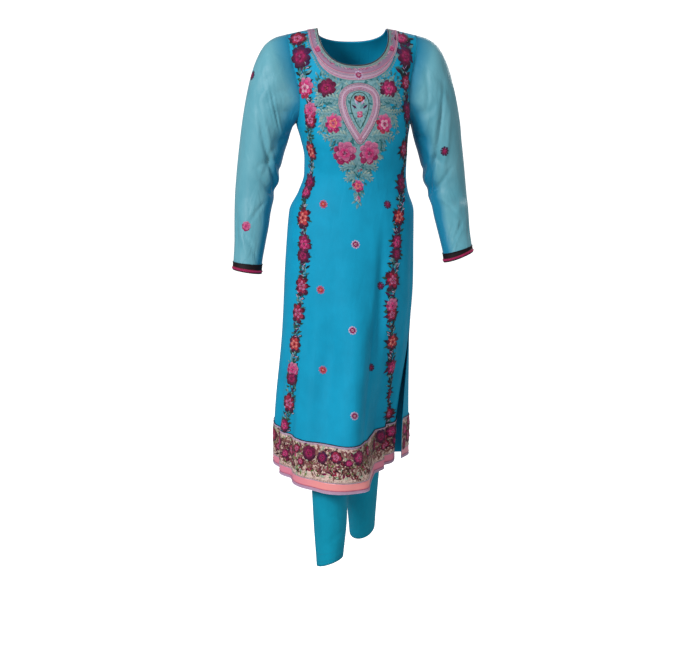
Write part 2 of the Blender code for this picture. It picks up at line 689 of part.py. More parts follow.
def trouser_half(wearer_side, word):
    """One leg with its half of the hips, cut in one piece and closed at the inseam."""
    columns = evenly(0.0, 1.0, LEG_COLUMNS)
    crotch_rises = (0.0, 0.05, 0.18, 0.40, 0.70, 1.0)
    levels = evenly(TROUSER_HEM_Z, CROTCH_Z, 9)[:-1]
    levels += [CROTCH_Z + CROTCH_CURVE_HEIGHT * k for k in crotch_rises]
    levels += [-0.480, -0.430, WAIST_Z - SEAM_GAP / 2]
    sheet = Sheet()
    for i, z in enumerate(levels):
        sheet.add_row(i, leg_row(wearer_side, z, columns))
        for j, way in ((0, -1), (LEG_COLUMNS, 1)):
            if z > CROTCH_Z:
                sheet.on_plane((i, j), 0, wearer_side * SEAM_GAP / 2)
            else:
                sheet.on_plane((i, j), 1, sheet.points[i, j].y + way * SEAM_GAP / 2)
    sheet.add_cells(range(len(levels) - 1), range(LEG_COLUMNS))
    if wearer_side == RIGHT:
        sheet.turned()
    sheet.wall("salwar_leg_" + word, -CLOTH, 0.0, TURQUOISE)


def waistband():
    """The elastic casing at the top of the trousers."""
    count = 32
    sheet = Sheet()
    for i, z in enumerate(evenly(WAIST_Z + SEAM_GAP / 2, WAIST_Z + WAISTBAND_HEIGHT, 2)):
        hip = read(HIP_SECTIONS, z)
        row = []
        for k in range(count):
            turn = 2 * math.pi * k / count
            depth = hip.back_depth if math.sin(turn) > 0 else hip.front_depth
            row.append(Vector((hip.half_width * math.cos(turn), depth * math.sin(turn), z)))
        sheet.add_row(i, row)
    sheet.add_cells(range(2), range(count), wrap=count)
    sheet.wall("salwar_waistband", -2 * CLOTH, 0.0, TURQUOISE)


# ---------------------------------------------------------------- the whole suit
def main():
    for old in list(bpy.data.objects):
        bpy.data.objects.remove(old)
    body_pieces(FRONT, "front")
    body_pieces(BACK, "back")
    sleeve(RIGHT, "right")
    sleeve(LEFT, "left")
    trouser_half(RIGHT, "right")
    trouser_half(LEFT, "left")
    waistband()


main()
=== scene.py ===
"""A turquoise salwar kameez suit, finished in cloth and thread over its solids.

Lengths are metres. +Z is up, the wearer faces -Y and the wearer's right is -X.
Every panel is sewn on the form of its own solid, with its smaller creases, and
the needlework lies on the panels that carry it.
"""

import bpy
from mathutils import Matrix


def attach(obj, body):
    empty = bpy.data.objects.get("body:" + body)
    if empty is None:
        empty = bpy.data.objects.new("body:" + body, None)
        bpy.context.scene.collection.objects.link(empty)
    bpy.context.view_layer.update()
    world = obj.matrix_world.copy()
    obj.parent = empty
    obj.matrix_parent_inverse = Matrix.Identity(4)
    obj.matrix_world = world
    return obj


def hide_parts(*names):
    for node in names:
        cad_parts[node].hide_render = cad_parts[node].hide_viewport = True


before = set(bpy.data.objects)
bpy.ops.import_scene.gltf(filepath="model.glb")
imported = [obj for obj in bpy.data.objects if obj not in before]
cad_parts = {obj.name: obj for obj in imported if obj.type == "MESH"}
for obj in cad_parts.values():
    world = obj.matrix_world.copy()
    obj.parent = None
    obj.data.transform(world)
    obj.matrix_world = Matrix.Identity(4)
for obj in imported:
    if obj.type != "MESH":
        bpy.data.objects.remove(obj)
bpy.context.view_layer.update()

import logging  # noqa: E402
import math  # noqa: E402
from collections.abc import Callable  # noqa: E402
from dataclasses import dataclass, field  # noqa: E402
from enum import Enum  # noqa: E402
from types import SimpleNamespace  # noqa: E402
from typing import ClassVar  # noqa: E402

import bpy  # noqa: E402
import numpy as np  # noqa: E402
from mathutils import Vector  # noqa: E402

logging.basicConfig(level=logging.INFO, format="%(message)s")
log = logging.getLogger("suit")
Array = np.ndarray
Tree = bpy.types.NodeTree
Node = bpy.types.Node
Socket = bpy.types.NodeSocket
Colour = tuple[float, float, float, float]
BODY = "root"


class Side(Enum):
    """The two panels of the tunic, as the sign of their depth."""

    FRONT = -1
    BACK = 1

    @property
    def word(self) -> str:
        """What its pieces are called by."""
        return self.name.lower()


class Hand(Enum):
    """The wearer's own sides, as signs of x."""

    RIGHT = -1
    LEFT = 1

    @property
    def word(self) -> str:
        """What its pieces are called by."""
        return self.name.lower()


# ------------------------------------------------------------------ small maths
def smooth(t: Array) -> Array:
    """0 below 0, 1 above 1, and an even S between them."""
    t = np.clip(t, 0.0, 1.0)
    return t * t * (3.0 - 2.0 * t)


def unit(vectors: Array) -> Array:
    """The same vectors, each one long."""
    return vectors / np.maximum(np.linalg.norm(vectors, axis=-1, keepdims=True), 1e-12)


def pairs(first: Array, second: Array) -> Array:
    """Two coordinates side by side, either of which may be one number for all."""
    return np.stack(np.broadcast_arrays(first, second), -1)


def run_along(points: Array) -> Array:
    """How far along a line of points each of them is."""
    return np.concatenate([[0.0], np.cumsum(np.linalg.norm(np.diff(points, axis=0), axis=1))])


def round_turns(count: int) -> Array:
    """This many even turns of a whole circle, from nought."""
    return np.arange(count) * 2 * math.pi / count


def finer(levels: list[float], times: int) -> Array:
    """The levels with each step between them cut into this many."""
    steps = [np.linspace(a, b, times, endpoint=False) for a, b in zip(levels, levels[1:])]
    return np.concatenate(steps + [np.array(levels[-1:])])


class SizeTable:
    """Rows of sizes with named columns, read on curves that never overshoot."""

    def __init__(self, columns: str, rows: list[tuple[float, ...]]) -> None:
        """Keep the rows, sorted by their first column.

        Args:
            columns: names of the columns, the first one being the place.
            rows: the sizes.
        """
        data = np.array(sorted(rows), dtype=float)
        self.names = columns.split()
        self.places, self.data = data[:, 0], data
        span = np.diff(self.places)[:, None]
        grade = np.diff(data, axis=0) / span
        slopes = np.zeros_like(data)
        before, after = grade[:-1], grade[1:]
        safe = np.where(before + after == 0.0, 1.0, before + after)
        slopes[1:-1] = np.where(before * after > 0.0, 2.0 * before * after / safe, 0.0)
        self.slopes = slopes

    def read(self, at: Array) -> SimpleNamespace:
        """Read every column at these places.

        Args:
            at: places along the first column.

        Returns:
            One array for each column, by its name.
        """
        at = np.clip(np.asarray(at, dtype=float), self.places[0], self.places[-1])
        i = np.clip(np.searchsorted(self.places, at, "right") - 1, 0, len(self.places) - 2)
        span = self.places[i + 1] - self.places[i]
        t = (at - self.places[i]) / span
        found = {}
        for k, name in enumerate(self.names):
            values, slopes = self.data[:, k], self.slopes[:, k]
            found[name] = (
                values[i] * (1 + 2 * t) * (1 - t) ** 2
                + values[i + 1] * t * t * (3 - 2 * t)
                + slopes[i] * span * t * (1 - t) ** 2
                + slopes[i + 1] * span * t * t * (t - 1)
            )
        return SimpleNamespace(**found)


# ------------------------------------------------------------------ colour and finish
def srgb(code: str) -> Colour:
    """A colour written as six hex digits, as the shader's own numbers."""
    parts = [int(code[k:k + 2], 16) / 255 for k in (1, 3, 5)]
    return (*[p / 12.92 if p <= 0.04045 else ((p + 0.055) / 1.055) ** 2.4 for p in parts], 1.0)


def add_node(tree: Tree, kind: str, inputs: dict | None = None, **settings: object) -> Node:
    """Add one node, set it and wire it up.

    Args:
        tree: the material's node tree.
        kind: the node's type.
        inputs: a value or another node's output socket for each input.
        **settings: properties of the node itself.

    Returns:
        The new node.
    """
    node = tree.nodes.new(kind)
    for name, value in settings.items():
        setattr(node, name, value)
    for name, value in (inputs or {}).items():
        if isinstance(value, Socket):
            tree.links.new(value, node.inputs[name])
        else:
            node.inputs[name].default_value = value
    return node


def new_material(name: str) -> tuple[bpy.types.Material, Tree, Node]:
    """A material with its tree and its one shader."""
    material = bpy.data.materials.new(name)
    material.use_nodes = True
    tree = material.node_tree
    return material, tree, tree.nodes["Principled BSDF"]


def mixed(tree: Tree, factor: Socket | float, first: Socket | Colour, second: Socket | Colour,
          blend: str = "MIX") -> Socket:
    """The colour between two colours, as an output socket."""
    node = add_node(
        tree, "ShaderNodeMix", {0: factor, 6: first, 7: second}, data_type="RGBA", blend_type=blend
    )
    return node.outputs[2]


def ranged(tree: Tree, value: Socket, low: float, high: float, to_low: float,
           to_high: float) -> Socket:
    """A value moved from one range to another, as an output socket."""
    node = add_node(tree, "ShaderNodeMapRange", {
        "Value": value, "From Min": low, "From Max": high, "To Min": to_low, "To Max": to_high,
    })
    return node.outputs["Result"]


def sums(tree: Tree, operation: str, *values: Socket | float) -> Socket:
    """The result of one sum on values or sockets, as an output socket."""
    return add_node(tree, "ShaderNodeMath", dict(enumerate(values)), operation=operation).outputs[0]


def noise(tree: Tree, place: Socket, scale: float, detail: float, **inputs: float) -> Socket:
    """Flat noise over the cut, as an output socket."""
    values = {"Vector": place, "Scale": scale, "Detail": detail, **inputs}
    return add_node(tree, "ShaderNodeTexNoise", values, noise_dimensions="2D").outputs["Fac"]


def moved(tree: Tree, place: Socket, **inputs: tuple[float, float, float]) -> Socket:
    """The cut moved, turned or scaled, as an output socket."""
    return add_node(tree, "ShaderNodeMapping", {"Vector": place, **inputs}).outputs["Vector"]


def on_cut(tree: Tree) -> Socket:
    """Where a point lies on the flat cut, in metres, as an output socket."""
    return add_node(tree, "ShaderNodeUVMap", uv_map="cut").outputs["UV"]


def relief(tree: Tree, height: Socket, depth: float, strength: float, invert: bool = False) -> Node:
    """A bump node over a height, as deep as this in metres."""
    values = {"Height": height, "Distance": depth, "Strength": strength}
    return add_node(tree, "ShaderNodeBump", values, invert=invert)


def dress(tree: Tree, shader: Node, tone: Socket, bump: Node, constants: dict) -> None:
    """Give a shader its colour, its relief and its constants.

    Args:
        tree: the material's node tree.
        shader: its shader.
        tone: the socket of its colour.
        bump: the node of its relief.
        constants: values by the names of the shader's inputs.
    """
    tree.links.new(tone, shader.inputs["Base Color"])
    tree.links.new(bump.outputs["Normal"], shader.inputs["Normal"])
    for name, value in constants.items():
        shader.inputs[name].default_value = value


# The girth and the length that a sleeve's pattern is laid out in.
SLEEVE_CUT_WIDTH, SLEEVE_CUT_LENGTH = 0.30, 0.62


@dataclass(frozen=True)
class WovenFinish:
    """Dyed woven cloth, whose pattern is laid out in metres of its own cut.

    Uneven dye gives the soft change of tone over a hand's breadth, the crinkle
    of the hard-twisted yarn breaks up the light, and the nap lifts the edges.
    A sleeve may be deeper along its inner side and at its top, for two layers and painted
    shade near the underarm, and a band may change its colour towards its ends.
    """

    # Patches of dye to a metre, and yarns and rumples to a metre both ways.
    DYE_PATCHES: ClassVar[float] = 14.0
    YARNS: ClassVar[tuple[float, float, float]] = (2600.0, 60.0, 1.0)
    RUMPLES: ClassVar[tuple[float, float, float]] = (46.0, 15.0, 1.0)
    # Where the inner side, the top and the ends begin and stop, in metres.
    INNER_FADE: ClassVar[tuple[float, float]] = (0.036, 0.054)
    TOP_FADE: ClassVar[tuple[float, float]] = (-0.075, -0.015)
    ENDS_FADE: ClassVar[tuple[float, float]] = (0.07, 0.17)

    name: str
    lit: str
    deep: str
    crinkle: float = 0.0011
    crinkle_depth: float = 0.00012
    uneven: float = 0.35
    roughness: float = 0.62
    sheen: float = 0.35
    sheen_colour: str = "#BFE9F2"
    alpha: float = 1.0
    specular: float = 0.35
    streak: float = 0.0
    rumple: float = 0.0
    inner: str = ""
    ends: str = ""

    def material(self) -> bpy.types.Material:
        """Build the cloth's material."""
        material, tree, shader = new_material(self.name)
        cut, deep = on_cut(tree), srgb(self.deep)
        dye = noise(tree, cut, self.DYE_PATCHES, 3.0, Roughness=0.55)
        grain = noise(tree, cut, 0.55 / self.crinkle, 4.0, Roughness=0.7)
        tone = mixed(tree, ranged(tree, dye, 0.3, 0.7, 0.0, self.uneven), srgb(self.lit), deep)
        tone = mixed(tree, ranged(tree, grain, 0.35, 0.65, 0.16, 0.0), tone, deep)
        if self.inner or self.ends:
            axes = add_node(tree, "ShaderNodeSeparateXYZ", {"Vector": cut}).outputs
        # Deeper along the inner side and at the top: partly the doubled sheer layers, partly
        # painted shade near the underarm.
        if self.inner:
            from_seam = sums(tree, "PINGPONG", axes["X"], SLEEVE_CUT_WIDTH / 2)
            doubled_and_shaded = sums(tree, "MAXIMUM", ranged(tree, from_seam, *self.INNER_FADE, 1.0, 0.0),
                           ranged(tree, axes["Y"], *self.TOP_FADE, 0.0, 1.0))
            tone = mixed(tree, doubled_and_shaded, tone, srgb(self.inner))
        if self.ends:
            from_middle = sums(tree, "ABSOLUTE", axes["X"])
            tone = mixed(
                tree, ranged(tree, from_middle, *self.ENDS_FADE, 0.0, 1.0), tone, srgb(self.ends)
            )
        if self.streak:
            yarns = noise(tree, moved(tree, cut, Scale=self.YARNS), 1.0, 2.0)
            tone = mixed(tree, ranged(tree, yarns, 0.35, 0.65, 0.0, self.streak), tone, deep)
        bump = relief(tree, grain, self.crinkle_depth, 1.0)
        if self.rumple:
            slanted = moved(tree, cut, Rotation=(0.0, 0.0, 0.45), Scale=self.RUMPLES)
            waves = noise(tree, slanted, 1.0, 3.0, Roughness=0.45, Distortion=0.6)
            soft = relief(tree, waves, self.rumple, 1.0)
            tree.links.new(soft.outputs["Normal"], bump.inputs["Normal"])
        dress(tree, shader, tone, bump, {
            "Roughness": self.roughness,
            "Specular IOR Level": self.specular,
            "Sheen Weight": self.sheen,
            "Sheen Roughness": 0.4, "Sheen Tint": srgb(self.sheen_colour), "Alpha": self.alpha,
        })
        return material


@dataclass(frozen=True)
class NetFinish:
    """Cotton net worked all over in pale thread.

    The fine cells of the net give a dry, grainy ground, the worked sprigs turn
    it from cream to grey-green in small uneven patches, and crooked figures in
    brown and in green thread make it read as busy from a few steps away.
    """

    name: str
    ground: str
    worked: str
    shade: str
    figure: str
    leafing: str
    cell: float = 0.0017

    def material(self) -> bpy.types.Material:
        """Build the net's material."""
        material, tree, shader = new_material(self.name)
        cut = on_cut(tree)
        cells = add_node(tree, "ShaderNodeTexVoronoi", {
            "Vector": cut, "Scale": 1.0 / self.cell, "Randomness": 0.35,
        }, voronoi_dimensions="2D", feature="DISTANCE_TO_EDGE").outputs["Distance"]
        sprigs = noise(tree, cut, 95.0, 3.0, Distortion=1.2)
        tone = mixed(
            tree, ranged(tree, sprigs, 0.44, 0.58, 0.0, 1.0), srgb(self.ground), srgb(self.worked)
        )
        for colour, shift, scale, bar, share in (
            (self.leafing, 3.7, 150.0, 0.565, 0.75), (self.figure, 1.3, 120.0, 0.545, 0.85),
        ):
            place = moved(tree, cut, Location=(shift, shift / 2, 0.0))
            figures = noise(tree, place, scale, 2.0, Distortion=2.2)
            tone = mixed(
                tree, ranged(tree, figures, bar, bar + 0.035, 0.0, share), tone, srgb(colour)
            )
        tone = mixed(tree, ranged(tree, cells, 0.02, 0.22, 0.0, 0.38), tone, srgb(self.shade))
        bump = relief(tree, cells, 0.0002, 0.8, invert=True)
        dress(tree, shader, tone, bump, {"Roughness": 0.78, "Specular IOR Level": 0.25})
        return material


@dataclass(frozen=True)
class ThreadFinish:
    """Embroidery silk laid in satin stitch.

    Each motif goes from its root tone to its tip tone, the separate strands
    show as fine ridges along it, and the silk keeps a soft gloss.
    """

    name: str
    root: str
    tip: str
    strand: float = 0.0007
    roughness: float = 0.52

    def material(self) -> bpy.types.Material:
        """Build the thread's material."""
        material, tree, shader = new_material(self.name)
        cut = on_cut(tree)
        along = add_node(tree, "ShaderNodeAttribute", attribute_name="tip").outputs["Fac"]
        strands = add_node(tree, "ShaderNodeTexWave", {
            "Vector": cut, "Scale": 0.314 / self.strand, "Distortion": 1.5, "Detail": 2.0,
            "Detail Scale": 2.0,
        }, wave_type="BANDS", bands_direction="X").outputs["Fac"]
        patchy = noise(tree, cut, 260.0, 2.0)
        place = sums(tree, "ADD", along, ranged(tree, patchy, 0.3, 0.7, -0.2, 0.2))
        tone = mixed(
            tree, ranged(tree, place, 0.15, 0.85, 0.0, 1.0), srgb(self.root), srgb(self.tip)
        )
        tone = mixed(tree, ranged(tree, strands, 0.0, 0.5, 0.40, 0.0), tone, srgb(self.root))
        bump = relief(tree, strands, 0.0003, 0.9)
        dress(tree, shader, tone, bump, {
            "Roughness": self.roughness, "Specular IOR Level": 0.26, "Sheen Weight": 0.05,
        })
        return material


class Silk(Enum):
    """The embroidery threads, each with its finish."""

    WINE = ThreadFinish("silk_wine_satin_stitch", "#8A124C", "#4A0D30")
    SLOE = ThreadFinish("silk_sloe_satin_stitch", "#601240", "#300A26")
    GARNET = ThreadFinish("silk_garnet_satin_stitch", "#760E30", "#380820")
    MAGENTA = ThreadFinish("silk_magenta_satin_stitch", "#7A0B44", "#B22466")
    CRIMSON = ThreadFinish("silk_crimson_satin_stitch", "#820E34", "#B8224A")
    SCARLET = ThreadFinish("silk_scarlet_satin_stitch", "#A0182C", "#CE4448")
    HOT_PINK = ThreadFinish("silk_hot_pink_satin_stitch", "#B81D66", "#E2528F")
    ROSE = ThreadFinish("silk_rose_satin_stitch", "#A03A70", "#D47BA0")
    CORAL = ThreadFinish("silk_coral_satin_stitch", "#C2464A", "#EA948A")
    PLUM = ThreadFinish("silk_plum_satin_stitch", "#561A52", "#280C34")
    MAUVE = ThreadFinish("silk_mauve_braid", "#A0869E", "#C6B2C8", strand=0.0010)
    BLUSH = ThreadFinish("silk_blush_stitch", "#C487A2", "#E6B6C6")
    LILAC = ThreadFinish("silk_pale_lilac_stitch", "#AD8FBC", "#D8C2DC")
    GREY_GREEN = ThreadFinish("silk_grey_green_leaf_stitch", "#4C828C", "#86AEB0")
    SAGE = ThreadFinish("silk_sage_ground_stitch", "#568E9C", "#82ACB4", strand=0.0012)
    SILVER = ThreadFinish("silk_silver_grey_stitch", "#72928F", "#A9BFB8")
    TEAL = ThreadFinish("silk_deep_teal_leaf_stitch", "#1B5A62", "#3C8488")
    BOTTLE = ThreadFinish("silk_bottle_green_leaf_stitch", "#0F3630", "#2C6450")
    INK = ThreadFinish("silk_ink_leaf_stitch", "#080F18", "#1C2834")
    OLIVE = ThreadFinish("silk_olive_leaf_stitch", "#4E6630", "#8A9E54")
    BROWN = ThreadFinish("silk_dark_brown_stem_stitch", "#280E14", "#5C2A2C")
    ROSEWOOD = ThreadFinish("silk_rosewood_leaf_stitch", "#74403E", "#A87470")
    CELADON = ThreadFinish("silk_pale_celadon_stitch", "#8FA88E", "#C2CFB4")
    TAUPE = ThreadFinish("silk_taupe_leaf_stitch", "#6A403C", "#9A6C62")
    CHARCOAL = ThreadFinish("silk_charcoal_cord", "#23282E", "#4A545C")
    TURQUOISE = ThreadFinish("cotton_turquoise_sewing_thread", "#0E7592", "#259DBC", strand=0.0004)


TURQUOISE_CREPE = WovenFinish(
    "turquoise_crepe_dyed_in_the_piece", "#0A9DC6", "#047CA0", sheen=0.04, specular=0.14,
    sheen_colour="#8FDCEA", crinkle_depth=0.00022, rumple=0.0011,
)
TROUSER_CREPE = WovenFinish(
    "turquoise_crepe_trouser_weight", "#0A9ABA", "#047C98", sheen=0.04, specular=0.12,
    sheen_colour="#8FDCEA", crinkle_depth=0.00022, rumple=0.0011,
)
# The georgette's inner colour is the deeper tone of its doubled layers together with painted shade
# near the underarm.
SHEER_GEORGETTE = WovenFinish(
    "sheer_turquoise_georgette", "#6CB0C0", "#4A9AAE",
    crinkle=0.0009, crinkle_depth=0.00026, uneven=0.5,
    roughness=0.44, sheen=0.32, alpha=0.86, sheen_colour="#E2F4F6", inner="#0E82A8", rumple=0.0026,
)
MAUVE_BRAID = WovenFinish(
    "mauve_woven_neck_braid", "#9A7C96", "#7A5E7A",
    crinkle=0.0008, crinkle_depth=0.0002, sheen=0.15,
    sheen_colour="#EBD3E0", streak=0.4,
)
CORAL_SATIN = WovenFinish(
    "coral_satin_weave", "#F8A09C", "#E6868C", crinkle=0.0006, crinkle_depth=0.00003, uneven=0.5,
    roughness=0.3, sheen=0.1, sheen_colour="#FFE4DC", specular=0.55, streak=0.3, ends="#E284A0",
)
LILAC_EDGING = WovenFinish(
    "pale_lilac_woven_edging", "#BF9BB4", "#A07C9A",
    crinkle=0.0007, crinkle_depth=0.00015, sheen=0.2,
    sheen_colour="#F5E6F0", streak=0.3,
)
MAROON_BRAID = WovenFinish(
    "maroon_cotton_cuff_braid", "#1A0610", "#0A0306",
    crinkle=0.0008, crinkle_depth=0.0002, sheen=0.03,
    sheen_colour="#B08090", streak=0.5, specular=0.22,
)
PALE_NET = NetFinish(
    "pale_cotton_net_worked_all_over", "#F2D4CC", "#DCC4B8", "#B48E86", "#8E5A56", "#A4B292",
)


# ------------------------------------------------------------------ mesh making
class MeshDraft:
    """Faces gathered before they become one object."""

    def __init__(self) -> None:
        """Start with nothing in it."""
        self.count = 0
        self.points: list[Array] = []
        self.tips: list[Array] = []
        self.loops: list[Array] = []
        self.totals: list[Array] = []
        self.flats: list[Array] = []
        self.slots: list[Array] = []

    def add(self, points: Array, loops: Array, totals: Array, flats: Array,
            tips: Array | None = None,
            slot: int = 0) -> None:
        """Add faces.

        Args:
            points: their corner points.
            loops: the point number of each face corner, face after face.
            totals: how many corners each face has.
            flats: where each face corner lies on the flat cut.
            tips: how far from root to tip each point is, for thread.
            slot: the number of their finish.
        """
        self.points.append(points.reshape(-1, 3))
        self.tips.append(np.zeros(self.points[-1].shape[0]) if tips is None else tips.ravel())
        self.loops.append(loops.ravel() + self.count)
        self.totals.append(totals.ravel())
        self.flats.append(flats.reshape(-1, 2))
        self.slots.append(np.full(totals.size, slot))
        self.count += self.points[-1].shape[0]

    def build(self, name: str, finishes: list) -> bpy.types.Object:
        """Make the object.

        Args:
            name: its name.
            finishes: the finish of each slot number.

        Returns:
            The new object, with smooth faces.
        """
        points, loops = np.concatenate(self.points), np.concatenate(self.loops)
        totals = np.concatenate(self.totals)
        mesh = bpy.data.meshes.new(name)
        mesh.vertices.add(len(points))
        mesh.loops.add(len(loops))
        mesh.polygons.add(len(totals))
        mesh.vertices.foreach_set("co", points.astype(np.float32).ravel())
        mesh.loops.foreach_set("vertex_index", loops.astype(np.int32))
        mesh.polygons.foreach_set("loop_start", (np.cumsum(totals) - totals).astype(np.int32))
        mesh.polygons.foreach_set("material_index", np.concatenate(self.slots).astype(np.int32))
        mesh.update(calc_edges=True)
        mesh.uv_layers.new(name="cut").data.foreach_set(
            "uv", np.concatenate(self.flats).astype(np.float32).ravel()
        )
        tip = mesh.attributes.new("tip", "FLOAT", "POINT")
        tip.data.foreach_set("value", np.concatenate(self.tips).astype(np.float32))
        mesh.polygons.foreach_set("use_smooth", np.ones(len(totals), dtype=bool))
        mesh.validate()
        for finish in finishes:
            mesh.materials.append(material_of(finish))
        piece = bpy.data.objects.new(name, mesh)
        bpy.context.scene.collection.objects.link(piece)
        return piece


MADE_MATERIALS: dict[str, bpy.types.Material] = {}


def material_of(finish: WovenFinish | NetFinish | ThreadFinish | Silk) -> bpy.types.Material:
    """The one material of a finish, made when it is first asked for."""
    recipe = finish.value if isinstance(finish, Silk) else finish
    if recipe.name not in MADE_MATERIALS:
        MADE_MATERIALS[recipe.name] = recipe.material()
    return MADE_MATERIALS[recipe.name]


class ClothSheet:
    """A sheet of cloth as points, four-cornered cells and its flat cut."""

    def __init__(self) -> None:
        """Start with no cloth."""
        self.points = np.zeros((0, 3))
        self.cells = np.zeros((0, 4), dtype=int)
        self.flats = np.zeros((0, 4, 2))
        self.pins: list[tuple[Array, int]] = []

    def add_points(self, points: Array) -> Array:
        """Add a block of points and give back their numbers, in its shape."""
        first = len(self.points)
        self.points = np.vstack([self.points, points.reshape(-1, 3)])
        return np.arange(first, len(self.points)).reshape(points.shape[:-1])

    def add_cells(self, index: Array, flat: Array, turned: bool = False) -> None:
        """Fill a block of points with cells.

        Args:
            index: point numbers, rows upwards and columns anticlockwise.
            flat: where each of them lies on the flat cut.
            turned: whether the cells face the other way.
        """
        def corners(block: Array) -> Array:
            """The four corners of every cell."""
            return np.stack(
                [block[:-1, :-1], block[:-1, 1:], block[1:, 1:], block[1:, :-1]], axis=2
            )

        cells = corners(index).reshape(-1, 4)
        flats = corners(flat).reshape(-1, 4, 2)
        if turned:
            cells, flats = cells[:, ::-1], flats[:, ::-1]
        self.cells = np.vstack([self.cells, cells])
        self.flats = np.concatenate([self.flats, flats])

    def pin(self, index: Array, axis: int, at: float) -> None:
        """Keep points, and the wall under them, on a seam's plane."""
        self.points[index, axis] = at
        self.pins.append((index, axis))

    def crossed(self) -> Array:
        """The cross product of every cell's diagonals."""
        a, b, c, d = (self.points[self.cells[:, k]] for k in range(4))
        return np.cross(c - a, d - b)

    def normals(self) -> Array:
        """The outward direction at every point."""
        facing = unit(self.crossed())
        found = np.zeros_like(self.points)
        for k in range(4):
            np.add.at(found, self.cells[:, k], facing)
        for index, axis in self.pins:
            found[index, axis] = 0.0
        return unit(found)

    def shell(self, name: str, inside: float, outside: float, finish: object) -> bpy.types.Object:
        """Build a closed wall between two distances out from the sheet.

        Args:
            name: the piece's name.
            inside: where its inner face lies, outwards from the sheet.
            outside: where its outer face lies.
            finish: what it is made of.

        Returns:
            The new piece.
        """
        normals, count = self.normals(), len(self.points)
        start, end = self.cells.ravel(), np.roll(self.cells, -1, axis=1).ravel()
        rim = ~np.isin(start * count + end, end * count + start)
        edge_flat = self.flats.reshape(-1, 2)
        next_flat = np.roll(self.flats, -1, axis=1).reshape(-1, 2)
        s, e = start[rim], end[rim]
        walls = np.stack([s, e, e + count, s + count], axis=1)
        wall_flats = np.stack(
            [edge_flat[rim], next_flat[rim], next_flat[rim], edge_flat[rim]], axis=1
        )
        faces = np.vstack([self.cells + count, self.cells[:, ::-1], walls])
        flats = np.concatenate([self.flats, self.flats[:, ::-1], wall_flats])
        used, loops = np.unique(faces.ravel(), return_inverse=True)
        points = np.vstack([self.points + normals * inside, self.points + normals * outside])[used]
        draft = MeshDraft()
        draft.add(points, loops, np.full(len(faces), 4), flats)
        return draft.build(name, [finish])


def steps_for(a: Array, b: Array, move: Array) -> tuple[Array, Array]:
    """The change of each coordinate that makes each move over a surface.

    Args:
        a: the change in place with the first coordinate.
        b: the change in place with the second.
        move: vectors in space.

    Returns:
        Both changes.
    """
    aa, ab, bb = (a * a).sum(-1), (a * b).sum(-1), (b * b).sum(-1)
    ma, mb = (move * a).sum(-1), (move * b).sum(-1)
    size = np.maximum(aa * bb - ab * ab, 1e-12)
    return (ma * bb - mb * ab) / size, (mb * aa - ma * ab) / size


class Surface:
    """A cloth surface that needlework can be laid on, by two coordinates."""

    outward = 1.0
    step = 1e-3

    def at(self, u: Array, v: Array) -> Array:
        """The surface's points at these coordinates."""
        raise NotImplementedError

    def frame(self, u: Array, v: Array) -> tuple[Array, Array, Array, Array]:
        """Points, the change with each coordinate, and the outward direction."""
        h = self.step
        along_u = (self.at(u + h, v) - self.at(u - h, v)) / (2 * h)
        along_v = (self.at(u, v + h) - self.at(u, v - h)) / (2 * h)
        return self.at(u, v), along_u, along_v, unit(np.cross(along_u, along_v)) * self.outward

    def slide(self, u: Array, v: Array, move: Array) -> tuple[Array, Array]:
        """Move over the surface by a small vector each.

        Args:
            u: first coordinates.
            v: second coordinates.
            move: vectors in space, one for each place.

        Returns:
            The new coordinates.
        """
        _, a, b, _ = self.frame(u, v)
        du, dv = steps_for(a, b, move)
        return u + du, v + dv

    def wrap(self, u: Array, v: Array, flat: Array, rise: Array) -> Array:
        """Lay flat shapes on the surface round their own centres.

        Args:
            u: first coordinate of each centre.
            v: second coordinate of each centre.
            flat: for each centre, points as (right, up) seen from outside.
            rise: how far each point stands out from the cloth.

        Returns:
            The points in space.
        """
        _, a, b, out = self.frame(u, v)
        up = np.zeros_like(out)
        up[..., 2] = 1.0
        up = unit(up - out * (up * out).sum(-1, keepdims=True))
        right = np.cross(up, out)
        move = flat[..., :1] * right[:, None] + flat[..., 1:] * up[:, None]
        du, dv = steps_for(a[:, None], b[:, None], move)
        points, _, _, normal = self.frame(u[:, None] + du, v[:, None] + dv)
        return points + normal * rise[..., None]


# ------------------------------------------------------------------ hand-worked shapes
@dataclass(frozen=True)
class Motif:
    """One small shape, ready to be copied: points, face corners and totals."""

    points: Array
    loops: Array
    totals: Array


def taken_off(piece: bpy.types.Object) -> Motif:
    """Read a modelled shape, and remove the object that it was modelled as."""
    mesh = piece.data
    points = np.zeros(len(mesh.vertices) * 3)
    mesh.vertices.foreach_get("co", points)
    loops = np.zeros(len(mesh.loops), dtype=np.int32)
    mesh.loops.foreach_get("vertex_index", loops)
    totals = np.zeros(len(mesh.polygons), dtype=np.int32)
    mesh.polygons.foreach_get("loop_total", totals)
    bpy.data.objects.remove(piece)
    return Motif(points.reshape(-1, 3), loops.astype(int), totals.astype(int))


def edit_select(keep: Callable[[Vector], bool]) -> None:
    """In edit mode, select just the points whose place passes the test."""
    bpy.ops.object.mode_set(mode="OBJECT")
    mesh = bpy.context.object.data
    for part in (mesh.polygons, mesh.edges, mesh.vertices):
        part.foreach_set("select", np.zeros(len(part), dtype=bool))
    for vertex in mesh.vertices:
        vertex.select = bool(keep(vertex.co))
    bpy.ops.object.mode_set(mode="EDIT")
    bpy.ops.mesh.select_mode(type="VERT")


